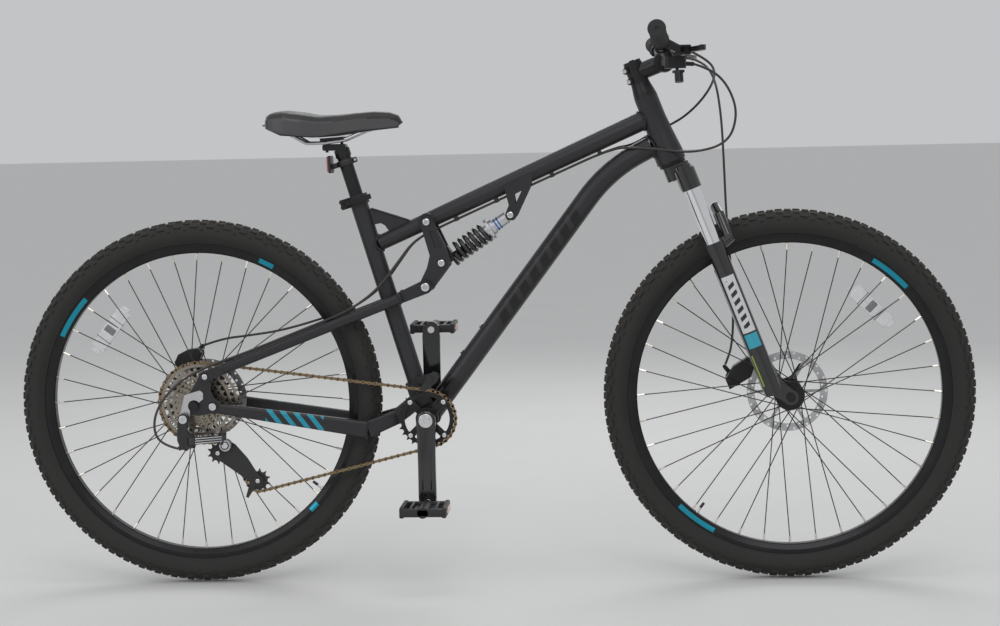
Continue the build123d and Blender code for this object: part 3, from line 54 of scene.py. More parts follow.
# +X forward, +Y rider's left, +Z up, metres; the drive side is -Y
up = Vector((0, 0, 1))
left = Vector((0, 1, 0))
headMiddle = Vector((0.3358, 0, 0.8922))
steerDown = Vector((cos(radians(69)), 0, -sin(radians(69))))
steerAhead = Vector((sin(radians(69)), 0, cos(radians(69))))
seatTop = Vector((-0.2575, 0, 0.757))
seatDown = Vector((cos(radians(73.5)), 0, -sin(radians(73.5))))
seatBack = Vector((-sin(radians(73.5)), 0, -cos(radians(73.5))))
frontAxle = Vector((0.5845, 0, 0.366))
rearAxle = Vector((-0.5845, 0, 0.366))
bottomBracket = Vector((-0.127, 0, 0.3315))
rockerPivot = Vector((-0.121, 0, 0.7185))
shockRearEye = Vector((-0.093, 0, 0.6372))
stayPivot = Vector((-0.125, 0, 0.5908))
shockFrontEye = Vector((0.0438, 0, 0.7288))
dropoutPivot = Vector((-0.5608, 0, 0.4241))


def steerPoint(along, ahead=0.0, side=0.0):
    return headMiddle + steerDown * along + steerAhead * ahead + left * side


def seatPoint(along, back=0.0, side=0.0):
    return seatTop + seatDown * along + seatBack * back + left * side


def turned(z, x=left):
    # rotation whose local Z lies along z, with local X near x
    z = z.normalized()
    side = x if abs(z.dot(x)) < 0.98 else up
    y = z.cross(side).normalized()
    return Matrix((y.cross(z), y, z)).transposed().to_4x4()


# Materials: shared effects are node groups, everything reads Object coordinates
def newGroup(name, inputs, outputs):
    group = bpy.data.node_groups.new(name, "ShaderNodeTree")
    for label, kind, value in inputs:
        socket = group.interface.new_socket(label, in_out="INPUT", socket_type=kind)
        if value is not None:
            socket.default_value = value
    for label, kind in outputs:
        group.interface.new_socket(label, in_out="OUTPUT", socket_type=kind)
    return group, group.nodes.new("NodeGroupInput"), group.nodes.new("NodeGroupOutput")


def mathNode(tree, operation, first, second=None, third=None, clamp=False):
    node = tree.nodes.new("ShaderNodeMath")
    node.operation = operation
    node.use_clamp = clamp
    for socket, value in zip(node.inputs, (first, second, third)):
        if value is None:
            continue
        if isinstance(value, (int, float)):
            socket.default_value = value
        else:
            tree.links.new(value, socket)
    return node.outputs[0]


def mixColor(tree, share, first, second):
    node = tree.nodes.new("ShaderNodeMix")
    node.data_type = "RGBA"
    for socket, value in ((node.inputs[0], share), (node.inputs[6], first), (node.inputs[7], second)):
        if isinstance(value, (int, float, tuple)):
            socket.default_value = value
        else:
            tree.links.new(value, socket)
    return node.outputs[2]


def noiseOutput(tree, coordinates, scale, detail=3.0, roughness=0.55):
    node = tree.nodes.new("ShaderNodeTexNoise")
    node.inputs["Scale"].default_value = scale
    node.inputs["Detail"].default_value = detail
    node.inputs["Roughness"].default_value = roughness
    tree.links.new(coordinates, node.inputs["Vector"])
    return node.outputs[0]


def makeGrainGroup():
    # fine grain with broad patches: a height for bump, a tone for colour and a wear for roughness
    group, inside, outside = newGroup(
        "fineGrain",
        [("Vector", "NodeSocketVector", None), ("Grain Scale", "NodeSocketFloat", 900.0),
         ("Patch Scale", "NodeSocketFloat", 14.0)],
        [("Height", "NodeSocketFloat"), ("Tone", "NodeSocketFloat"), ("Wear", "NodeSocketFloat")],
    )
    grain = noiseOutput(group, inside.outputs["Vector"], 900.0, 2.0)
    group.links.new(inside.outputs["Grain Scale"], grain.node.inputs["Scale"])
    patch = noiseOutput(group, inside.outputs["Vector"], 14.0, 4.0)
    group.links.new(inside.outputs["Patch Scale"], patch.node.inputs["Scale"])
    group.links.new(grain, outside.inputs["Height"])
    group.links.new(patch, outside.inputs["Tone"])
    blended = mathNode(group, "MULTIPLY_ADD", grain, 0.35, mathNode(group, "MULTIPLY", patch, 0.65))
    group.links.new(blended, outside.inputs["Wear"])
    return group


def makeRingGroup():
    # polar coordinates about a wheel's axle: radius in metres and angle in degrees
    group, inside, outside = newGroup(
        "aroundAxle",
        [("Vector", "NodeSocketVector", None), ("Axle X", "NodeSocketFloat", 0.0),
         ("Axle Z", "NodeSocketFloat", 0.366)],
        [("Radius", "NodeSocketFloat"), ("Angle", "NodeSocketFloat"), ("Side", "NodeSocketFloat")],
    )
    parts = group.nodes.new("ShaderNodeSeparateXYZ")
    group.links.new(inside.outputs["Vector"], parts.inputs[0])
    x = mathNode(group, "SUBTRACT", parts.outputs[0], inside.outputs["Axle X"])
    z = mathNode(group, "SUBTRACT", parts.outputs[2], inside.outputs["Axle Z"])
    radius = mathNode(group, "SQRT", mathNode(group, "MULTIPLY_ADD", x, x, mathNode(group, "MULTIPLY", z, z)))
    angle = mathNode(group, "MULTIPLY", mathNode(group, "ARCTAN2", z, x), 180 / pi)
    group.links.new(radius, outside.inputs["Radius"])
    group.links.new(angle, outside.inputs["Angle"])
    group.links.new(parts.outputs[1], outside.inputs["Side"])
    return group


grainGroup = makeGrainGroup()
ringGroup = makeRingGroup()


def band(tree, value, low, high, soft):
    # 1 between low and high, with soft edges
    rise = mathNode(tree, "DIVIDE", mathNode(tree, "SUBTRACT", value, low), soft, clamp=True)
    fall = mathNode(tree, "DIVIDE", mathNode(tree, "SUBTRACT", high, value), soft, clamp=True)
    return mathNode(tree, "MULTIPLY", rise, fall)


def alongNode(tree, coordinates, origin, direction):
    # distance along a direction from an origin
    node = tree.nodes.new("ShaderNodeVectorMath")
    node.operation = "SUBTRACT"
    tree.links.new(coordinates, node.inputs[0])
    node.inputs[1].default_value = origin
    dot = tree.nodes.new("ShaderNodeVectorMath")
    dot.operation = "DOT_PRODUCT"
    tree.links.new(node.outputs[0], dot.inputs[0])
    dot.inputs[1].default_value = direction
    return dot.outputs["Value"]


finishes = {
    # colour, tone spread, roughness low and high, metallic, grain scale, patch scale, bump, coat, specular
    "framePaint": dict(color=(0.017, 0.017, 0.019), light=(0.027, 0.027, 0.030), rough=(0.36, 0.48),
                       metal=0.25,
                       grain=1600, patch=9, bump=0.045, coat=0.12),
    "frameDark": dict(color=(0.010, 0.010, 0.011), light=(0.020, 0.020, 0.022), rough=(0.3, 0.45), metal=0.0,
                      grain=1300, patch=12, bump=0.05, coat=0.1),
    "weldPaint": dict(color=(0.020, 0.020, 0.023), light=(0.034, 0.034, 0.038), rough=(0.34, 0.5), metal=0.25,
                      grain=700, patch=30, bump=0.12, coat=0.1),
    "glossBlack": dict(color=(0.006, 0.006, 0.007), light=(0.012, 0.012, 0.013), rough=(0.08, 0.16),
                       metal=0.0,
                       grain=300, patch=10, bump=0.01, coat=0.7),
    "blackAlloy": dict(color=(0.014, 0.014, 0.015), light=(0.030, 0.030, 0.032), rough=(0.26, 0.42),
                       metal=0.55,
                       grain=1400, patch=16, bump=0.05, coat=0.0),
    "chromePlate": dict(color=(0.78, 0.79, 0.81), light=(0.86, 0.87, 0.88), rough=(0.04, 0.10), metal=1.0,
                        grain=500, patch=20, bump=0.004, coat=0.0),
    "brushedSteel": dict(color=(0.46, 0.46, 0.47), light=(0.62, 0.62, 0.63), rough=(0.22, 0.38), metal=1.0,
                         grain=900, patch=18, bump=0.04, coat=0.0),
    "silverAlloy": dict(color=(0.56, 0.56, 0.58), light=(0.70, 0.70, 0.72), rough=(0.24, 0.40), metal=1.0,
                        grain=1100, patch=20, bump=0.04, coat=0.0),
    "brightBolt": dict(color=(0.66, 0.66, 0.68), light=(0.80, 0.80, 0.82), rough=(0.14, 0.28), metal=1.0,
                       grain=900, patch=60, bump=0.02, coat=0.0),
    "cassetteSteel": dict(color=(0.24, 0.21, 0.17), light=(0.42, 0.38, 0.32), rough=(0.20, 0.36), metal=1.0,
                          grain=800, patch=24, bump=0.04, coat=0.0),
    "chainSteel": dict(color=(0.20, 0.145, 0.085), light=(0.34, 0.25, 0.15), rough=(0.22, 0.42), metal=1.0,
                       grain=1200, patch=90, bump=0.05, coat=0.0),
    "springBlack": dict(color=(0.008, 0.008, 0.009), light=(0.016, 0.016, 0.017), rough=(0.14, 0.26),
                        metal=0.0,
                        grain=500, patch=30, bump=0.02, coat=0.4),
    "tyreRubber": dict(color=(0.013, 0.013, 0.012), light=(0.026, 0.025, 0.023), rough=(0.62, 0.85),
                       metal=0.0,
                       grain=700, patch=20, bump=0.22, coat=0.0),
    "gripRubber": dict(color=(0.012, 0.012, 0.012), light=(0.024, 0.024, 0.024), rough=(0.6, 0.8), metal=0.0,
                       grain=1500, patch=30, bump=0.16, coat=0.0),
    "cableHousing": dict(color=(0.022, 0.019, 0.018), light=(0.042, 0.037, 0.035), rough=(0.3, 0.46),
                         metal=0.0,
                         grain=1200, patch=30, bump=0.05, coat=0.15),
    "blackPlastic": dict(color=(0.012, 0.012, 0.013), light=(0.026, 0.026, 0.028), rough=(0.34, 0.55),
                         metal=0.0,
                         grain=1100, patch=22, bump=0.1, coat=0.0),
    "greyPlastic": dict(color=(0.16, 0.16, 0.165), light=(0.24, 0.24, 0.245), rough=(0.34, 0.5), metal=0.0,
                        grain=1100, patch=22, bump=0.06, coat=0.0),
    "saddleSkin": dict(color=(0.012, 0.012, 0.013), light=(0.024, 0.024, 0.025), rough=(0.38, 0.56),
                       metal=0.0,
                       grain=1900, patch=18, bump=0.24, coat=0.05),
    "saddlePanel": dict(color=(0.05, 0.05, 0.052), light=(0.085, 0.085, 0.088), rough=(0.3, 0.46), metal=0.1,
                        grain=1900, patch=18, bump=0.18, coat=0.1),
    "spokeBlack": dict(color=(0.012, 0.012, 0.012), light=(0.03, 0.03, 0.03), rough=(0.25, 0.4), metal=0.4,
                       grain=900, patch=60, bump=0.02, coat=0.1),
    "nippleSilver": dict(color=(0.66, 0.63, 0.56), light=(0.82, 0.79, 0.72), rough=(0.2, 0.34), metal=1.0,
                         grain=900, patch=80, bump=0.02, coat=0.0),
    "cyanPaint": dict(color=(0.012, 0.30, 0.42), light=(0.02, 0.38, 0.52), rough=(0.25, 0.36), metal=0.0,
                      grain=1200, patch=20, bump=0.02, coat=0.3),
    "whitePaint": dict(color=(0.62, 0.63, 0.64), light=(0.74, 0.75, 0.76), rough=(0.25, 0.36), metal=0.0,
                       grain=1200, patch=20, bump=0.02, coat=0.3),
    "blueAnodised": dict(color=(0.01, 0.12, 0.42), light=(0.02, 0.18, 0.55), rough=(0.2, 0.32), metal=0.8,
                         grain=1200, patch=20, bump=0.02, coat=0.2),
}


def makeFinish(name, settings, decorate=None):
    material = bpy.data.materials.new(name)
    material.use_nodes = True
    tree = material.node_tree
    shader = tree.nodes["Principled BSDF"]
    coordinates = tree.nodes.new("ShaderNodeTexCoord").outputs["Object"]
    grain = tree.nodes.new("ShaderNodeGroup")
    grain.node_tree = grainGroup
    grain.inputs["Grain Scale"].default_value = settings["grain"]
    grain.inputs["Patch Scale"].default_value = settings["patch"]
    tree.links.new(coordinates, grain.inputs["Vector"])
    tone = mixColor(tree, grain.outputs["Tone"], (*settings["color"], 1), (*settings["light"], 1))
    lowRough, highRough = settings["rough"]
    rough = mathNode(tree, "MULTIPLY_ADD", grain.outputs["Wear"], highRough - lowRough, lowRough)
    height = grain.outputs["Height"]
    if decorate:
        tone, rough, height = decorate(tree, coordinates, tone, rough, height)
    tree.links.new(tone, shader.inputs["Base Color"])
    tree.links.new(rough, shader.inputs["Roughness"])
    shader.inputs["Metallic"].default_value = settings["metal"]
    shader.inputs["Coat Weight"].default_value = settings["coat"]
    shader.inputs["Coat Roughness"].default_value = 0.12
    bump = tree.nodes.new("ShaderNodeBump")
    bump.inputs["Strength"].default_value = min(1.0, settings["bump"] * 4)
    bump.inputs["Distance"].default_value = 0.0004
    tree.links.new(height, bump.inputs["Height"])
    tree.links.new(bump.outputs[0], shader.inputs["Normal"])
    return material


materials = {name: makeFinish(name, settings) for name, settings in finishes.items()}


def ringNode(tree, coordinates, axle):
    ring = tree.nodes.new("ShaderNodeGroup")
    ring.node_tree = ringGroup
    ring.inputs["Axle X"].default_value = axle.x
    ring.inputs["Axle Z"].default_value = axle.z
    tree.links.new(coordinates, ring.inputs["Vector"])
    return ring


def tyreDecor(axle):
    def decorate(tree, coordinates, tone, rough, height):
        # fine moulded ribs round the side wall and a dustier, browner band near the tread
        ring = ringNode(tree, coordinates, axle)
        ribs = mathNode(tree, "SINE", mathNode(tree, "MULTIPLY", ring.outputs["Radius"], 2 * pi / 0.0016))
        wall = band(tree, ring.outputs["Radius"], 0.324, 0.347, 0.003)
        height = mathNode(tree, "MULTIPLY_ADD", mathNode(tree, "MULTIPLY", ribs, wall), 0.35, height)
        dust = band(tree, ring.outputs["Radius"], 0.350, 0.40, 0.012)
        tone = mixColor(tree, mathNode(tree, "MULTIPLY", dust, 0.6), tone, (0.038, 0.035, 0.030, 1))
        return tone, rough, height
    return decorate


def rimDecor(axle, arcs):
    def decorate(tree, coordinates, tone, rough, height):
        ring = ringNode(tree, coordinates, axle)
        face = band(tree, ring.outputs["Radius"], 0.3035, 0.3135, 0.0006)
        total = None
        for low, high in arcs:
            arc = mathNode(tree, "MULTIPLY", band(tree, ring.outputs["Angle"], low, high, 0.3), face)
            total = arc if total is None else mathNode(tree, "MAXIMUM", total, arc)
        tone = mixColor(tree, total, tone, (0.015, 0.30, 0.42, 1))
        return tone, rough, height
    return decorate


def forkDecor(tree, coordinates, tone, rough, height):
    # a plain white and cyan block and a thin yellow-green line on the outer sides of the legs
    along = alongNode(tree, coordinates, headMiddle, steerDown)
    ahead = alongNode(tree, coordinates, headMiddle, steerAhead)
    parts = tree.nodes.new("ShaderNodeSeparateXYZ")
    tree.links.new(coordinates, parts.inputs[0])
    outside = mathNode(tree, "GREATER_THAN", mathNode(tree, "ABSOLUTE", parts.outputs[1]), 0.066)
    panel = mathNode(tree, "MULTIPLY", outside, band(tree, ahead, 0.003, 0.029, 0.0006))
    white = (0.62, 0.63, 0.64, 1)
    for low, high, color in ((0.313, 0.430, white), (0.433, 0.462, (0.02, 0.34, 0.46, 1))):
        tone = mixColor(tree, mathNode(tree, "MULTIPLY", panel, band(tree, along, low, high, 0.0006)), tone,
                        color)
    slant = mathNode(tree, "MULTIPLY_ADD", ahead, 0.5, along)
    bars = band(tree, mathNode(tree, "FRACT", mathNode(tree, "DIVIDE", slant, 0.0165)), 0.42, 0.96, 0.03)
    bars = mathNode(tree, "MULTIPLY", bars, band(tree, ahead, 0.009, 0.023, 0.0006))
    bars = mathNode(tree, "MULTIPLY", bars, band(tree, along, 0.322, 0.421, 0.0006))
    tone = mixColor(tree, mathNode(tree, "MULTIPLY", bars, outside), tone, (0.008, 0.008, 0.009, 1))
    line = mathNode(tree, "MULTIPLY", band(tree, ahead, 0.0015, 0.0045, 0.0004),
                    band(tree, along, 0.475, 0.540, 0.0006))
    tone = mixColor(tree, mathNode(tree, "MULTIPLY", line, outside), tone, (0.30, 0.42, 0.03, 1))
    return tone, rough, height


def stayDecor(tree, coordinates, tone, rough, height):
    # five slanting stripes on each chainstay's outer face
    slant = alongNode(tree, coordinates, Vector((-0.3, 0, 0.32)), Vector((0.8, 0, 0.6)))
    run = alongNode(tree, coordinates, Vector((-0.3, 0, 0.32)), Vector((1, 0, 0)))
    phase = mathNode(tree, "FRACT", mathNode(tree, "DIVIDE", slant, 0.019))
    stripe = mathNode(tree, "MULTIPLY", band(tree, phase, 0.1, 0.6, 0.05),
                      band(tree, run, -0.145, -0.03, 0.001))
    parts = tree.nodes.new("ShaderNodeSeparateXYZ")
    tree.links.new(coordinates, parts.inputs[0])
    outside = mathNode(tree, "GREATER_THAN", mathNode(tree, "ABSOLUTE", parts.outputs[1]), 0.060)
    tone = mixColor(tree, mathNode(tree, "MULTIPLY", stripe, outside), tone, (0.015, 0.30, 0.42, 1))
    return tone, rough, height


def downTubeDecor(tree, coordinates, tone, rough, height):
    # darker guard round the lower end, then a plain pale stripe pair along each side
    along = alongNode(tree, coordinates, bottomBracket, Vector((0.603, 0, 0.798)))
    lift = alongNode(tree, coordinates, bottomBracket, Vector((-0.798, 0, 0.603)))
    guard = band(tree, along, -0.1, 0.093, 0.0008)
    tone = mixColor(tree, guard, tone, (0.008, 0.008, 0.009, 1))
    slant = mathNode(tree, "SUBTRACT", along, mathNode(tree, "MULTIPLY", lift, 0.5))
    bars = band(tree, mathNode(tree, "FRACT", mathNode(tree, "DIVIDE", slant, 0.034)), 0.14, 0.80, 0.02)
    bars = mathNode(tree, "MULTIPLY", bars, band(tree, along, 0.235, 0.505, 0.0006))
    bars = mathNode(tree, "MULTIPLY", bars, band(tree, lift, -0.0135, 0.0135, 0.0006))
    tone = mixColor(tree, bars, tone, (0.006, 0.006, 0.007, 1))
    gloss = mathNode(tree, "MAXIMUM", guard, bars)
    rough = mathNode(tree, "MULTIPLY_ADD", gloss, -0.12, rough)
    return tone, rough, height


def prismBumpWithPaintedGlint(tree, coordinates, tone, rough, height):
    # small prisms moulded behind the lens, as a bump, plus painted glints: the lens colour is paled toward
    # white across each prism cell
    cells = tree.nodes.new("ShaderNodeTexVoronoi")
    cells.inputs["Scale"].default_value = 420
    tree.links.new(coordinates, cells.inputs["Vector"])
    # painted glint: each prism cell is tinted toward white to stand in for light caught by the facets
    tone = mixColor(tree, mathNode(tree, "MULTIPLY", cells.outputs["Distance"], 0.25), tone,
                    (0.9, 0.9, 0.9, 1))
    return tone, rough, cells.outputs["Distance"]


def lensSettings(color, light):
    return dict(color=color, light=light, rough=(0.08, 0.2), metal=0.0, grain=900, patch=200, bump=0.12,
                coat=0.6)


materials["frontTyre"] = makeFinish("frontTyre", finishes["tyreRubber"], tyreDecor(frontAxle))
materials["rearTyre"] = makeFinish("rearTyre", finishes["tyreRubber"], tyreDecor(rearAxle))
rimSettings = dict(finishes["blackAlloy"], rough=(0.2, 0.34), metal=0.7)
materials["frontRim"] = makeFinish("frontRim", rimSettings, rimDecor(frontAxle, ((-135, -119), (42, 58))))
materials["rearRim"] = makeFinish("rearRim", rimSettings,
                                  rimDecor(rearAxle, ((137, 154), (-46, -42), (60, 66))))
materials["forkLower"] = makeFinish("forkLower", finishes["glossBlack"], forkDecor)
materials["chainstayPaint"] = makeFinish("chainstayPaint", finishes["framePaint"], stayDecor)
materials["downTubePaint"] = makeFinish("downTubePaint", finishes["framePaint"], downTubeDecor)
materials["redLens"] = makeFinish("redLens", lensSettings((0.30, 0.012, 0.01), (0.5, 0.03, 0.02)),
                                  prismBumpWithPaintedGlint)
materials["amberLens"] = makeFinish("amberLens", lensSettings((0.55, 0.16, 0.015), (0.8, 0.3, 0.04)),
                                    prismBumpWithPaintedGlint)
materials["clearLens"] = makeFinish("clearLens", lensSettings((0.55, 0.56, 0.57), (0.8, 0.8, 0.8)),
                                    prismBumpWithPaintedGlint)
print("materials ready:", len(materials))

cadFinish = {
    "framePaint": ["head_tube", "seat_tube", "bottom_bracket_shell", "top_tube", "frame_brackets",
                   "seat_clamp_collar", "seatstays", "rocker_links"],
    "chainstayPaint": ["chainstays"],
    "downTubePaint": ["down_tube"],
    "glossBlack": ["fork_crown"],
    "forkLower": ["fork_lowers"],
    "blackAlloy": ["stem", "handlebar", "seat_post", "seat_clamp_lever", "front_hub", "rear_hub",
                   "bar_controls", "brake_lever_right", "brake_lever_left", "shifter_paddle",
                   "front_caliper", "rear_caliper", "bearing_cups", "front_axle", "rear_axle",
                   "shock_shaft"],
    "frontRim": ["front_rim"],
    "rearRim": ["rear_rim"],
    "chromePlate": ["fork_stanchions"],
    "brushedSteel": ["front_rotor", "rear_rotor", "saddle_rails"],
    "silverAlloy": ["derailleur_hanger", "shock_body"],
    "blackPlastic": ["saddle_shell", "chain_guide", "derailleur_knuckle", "derailleur_link",
                     "derailleur_body", "derailleur_cage"],
}
for finishName, names in cadFinish.items():
    for name in names:
        cadNode[name].data.materials.clear()
        cadNode[name].data.materials.append(materials[finishName])


# Modelling helpers
def newPiece(name, bm, body, finishNames, replaced=(), sharp=35, merge=0.00001):
    if merge:
        bmesh.ops.remove_doubles(bm, verts=bm.verts, dist=merge)
    mesh = bpy.data.meshes.new(name)
    bm.to_mesh(mesh)
    bm.free()
    for polygon in mesh.polygons:
        polygon.use_smooth = True
    mesh.set_sharp_from_angle(angle=radians(sharp))
    piece = bpy.data.objects.new(name, mesh)
    bpy.context.scene.collection.objects.link(piece)
    for finishName in ([finishNames] if isinstance(finishNames, str) else finishNames):
        mesh.materials.append(materials[finishName])
    if body:
        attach(piece, body)
    if replaced:
        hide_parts(*replaced)
    return piece


def addCylinder(bm, start, end, radius, endRadius=None, segments=24, capped=True, paint=0):
    axis = end - start
    made = bmesh.ops.create_cone(
        bm, cap_ends=capped, segments=segments, radius1=radius,
        radius2=radius if endRadius is None else endRadius, depth=axis.length,
        matrix=Matrix.Translation((start + end) / 2) @ turned(axis),
    )
    for face in {face for vert in made["verts"] for face in vert.link_faces}:
        face.material_index = paint
    return made["verts"]


def addBlock(bm, centre, size, turn=None, bevel=0.0, segments=2, paint=0):
    made = bmesh.ops.create_cube(
        bm, size=1.0,
        matrix=Matrix.Translation(centre) @ (turn or Matrix()) @ Matrix.Diagonal((*size, 1)),
    )
    verts = made["verts"]
    if bevel:
        edges = list({edge for vert in verts for edge in vert.link_edges})
        rounded = bmesh.ops.bevel(
            bm, geom=edges, offset=bevel, segments=segments, profile=0.5, affect="EDGES", material=-1,
        )
        kept = {vert for vert in verts if vert.is_valid}
        verts = list({vert for face in rounded["faces"] for vert in face.verts} | kept)
    for face in {face for vert in verts for face in vert.link_faces}:
        face.material_index = paint
    return verts


def addSpun(bm, profile, centre, axis, out, steps=48, paint=0, closed=True):
    # profile is (radius, along) pairs, spun about axis through centre
    axis = axis.normalized()
    verts = [bm.verts.new(centre + out * radius + axis * along) for radius, along in profile]
    count = len(verts) if closed else len(verts) - 1
    edges = [bm.edges.new((verts[i], verts[(i + 1) % len(verts)])) for i in range(count)]
    before = set(bm.faces)
    bmesh.ops.spin(bm, geom=verts + edges, cent=centre, axis=axis, angle=2 * pi, steps=steps, use_merge=True)
    made = [face for face in bm.faces if face not in before]
    bmesh.ops.recalc_face_normals(bm, faces=made)
    for face in made:
        face.material_index = paint
    return made


def spreadRound(bm, geometry, centre, axis, count):
    # copies of the geometry all the way round
    if count > 1:
        bmesh.ops.spin(
            bm, geom=geometry, cent=centre, axis=axis, angle=2 * pi * (count - 1) / count,
            steps=count - 1, use_duplicate=True,
        )


def hexHead(bm, point, axis, radius, height, paint=0):
    # socket bolt head: rounded drum with a sunk hexagon
    axis = axis.normalized()
    side = turned(axis).to_3x3() @ Vector((1, 0, 0))
    addSpun(bm, [(radius * 0.98, 0), (radius, height * 0.25), (radius, height * 0.8), (radius * 0.88, height),
                 (radius * 0.5, height)], point, axis, side, 24, paint, closed=False)
    addCylinder(bm, point - axis * height * 0.05, point + axis * height * 0.55, radius * 0.56, segments=6,
                paint=paint)


def weldBead(bm, points, radius, stretch=1.15):
    # overlapping dimples laid along a joint line
    for index, point in enumerate(points):
        ahead = points[(index + 1) % len(points)] - points[index - 1]
        if ahead.length < 1e-6:
            continue
        place = Matrix.Translation(point) @ turned(ahead) @ Matrix.Diagonal((1, 1, 0.62 * stretch, 1))
        bmesh.ops.create_icosphere(bm, subdivisions=2, radius=radius, matrix=place)


def jointLine(start, way, acrossSize, upSize, inside, count):
    # where a tube of elliptic section first meets another body, all the way round its section
    way = way.normalized()
    high = left.cross(way).normalized()
    points = []
    for index in range(count):
        angle = 2 * pi * index / count
        rim = start + left * acrossSize * cos(angle) + high * upSize * sin(angle)
        reach = 0.0
        while reach < 0.2 and not inside(rim + way * reach):
            reach += 0.0005
        points.append(rim + way * reach)
    return points


def insideRod(centre, axis, radius):
    axis = axis.normalized()
    return lambda point: ((point - centre) - axis * (point - centre).dot(axis)).length < radius


# Tyres
tyre = {"crown": 0.3612, "halfWidth": 0.0268, "pitches": 66, "sideSteps": 132}


def makeTyre(name, axle, body, finishName):
    bm = bmesh.new()
    middle = 0.338
    high = tyre["crown"] - middle
    profile = [(0.3106, -0.0118), (0.3172, -0.0122), (0.3176, -0.0160)]
    for step in range(25):
        angle = radians(-137 + step * 274 / 24)
        radius = middle + high * cos(angle)
        along = tyre["halfWidth"] * sin(angle)
        profile.append((radius, along))
    profile += [(0.3176, 0.0160), (0.3172, 0.0122), (0.3106, 0.0118), (0.3106, 0.0092), (0.319, 0.0102)]
    profile += [(0.335, 0.0215), (0.350, 0.0150), (0.3575, 0.0), (0.350, -0.0150), (0.335, -0.0215)]
    profile += [(0.319, -0.0102), (0.3106, -0.0092)]
    addSpun(bm, profile, axle, left, Vector((1, 0, 0)), tyre["sideSteps"])
    pitch = 2 * pi / tyre["pitches"]
    knobs = []
    for across, lengthwise, wide, tall, turn, offset in (
        (0.0058, 0.0150, 0.0088, 0.0046, 6, 0.0), (-0.0058, 0.0150, 0.0088, 0.0046, -6, 0.5),
        (0.0150, 0.0125, 0.0072, 0.0048, 14, 0.5), (-0.0150, 0.0125, 0.0072, 0.0048, -14, 0.0),
        (0.0222, 0.0145, 0.0062, 0.0054, 4, 0.05), (-0.0222, 0.0145, 0.0062, 0.0054, -4, 0.55),
        (0.0251, 0.0060, 0.0040, 0.0040, 0, 0.55), (-0.0251, 0.0060, 0.0040, 0.0040, 0, 0.05),
    ):
        lean = asin(max(-1, min(1, across / tyre["halfWidth"])))
        out = Vector((cos(lean), sin(lean) * 0.75, 0)).normalized()
        seat = axle + Vector((middle + high * cos(lean) + 0.0006, across, 0))
        place = Matrix.Rotation(-pitch * offset, 4, "Y")
        turnMatrix = turned(out, left) @ Matrix.Rotation(radians(turn), 4, "Z")
        local = Matrix.Translation(seat - axle) @ turnMatrix @ Matrix.Diagonal((wide, lengthwise, tall, 1))
        made = bmesh.ops.create_cube(bm, size=1.0, matrix=Matrix.Translation(axle) @ place @ local)["verts"]
        top = sorted(made, key=lambda vert: (Vector((vert.co.x - axle.x, 0, vert.co.z - axle.z))).length)[4:]
        centre = sum((vert.co for vert in top), Vector()) / 4
        for vert in top:
            vert.co = centre + (vert.co - centre) * 0.84
        knobs += made
    faces = {face for vert in knobs for face in vert.link_faces}
    edges = {edge for vert in knobs for edge in vert.link_edges}
    spreadRound(bm, knobs + list(edges) + list(faces), axle, left, tyre["pitches"])
    return newPiece(name, bm, body, finishName, [body.replace("wheel", "tyre")], sharp=30,
                    merge=0)


makeTyre("frontTyreTread", frontAxle, "front_wheel", "frontTyre")
makeTyre("rearTyreTread", rearAxle, "rear_wheel", "rearTyre")
print("tyres done")

# Spokes with nipples, valve and wheel reflector
wheel = {"spokesPerSide": 18, "spokeRadius": 0.00105, "nippleRadius": 0.0022, "rimInner": 0.298}


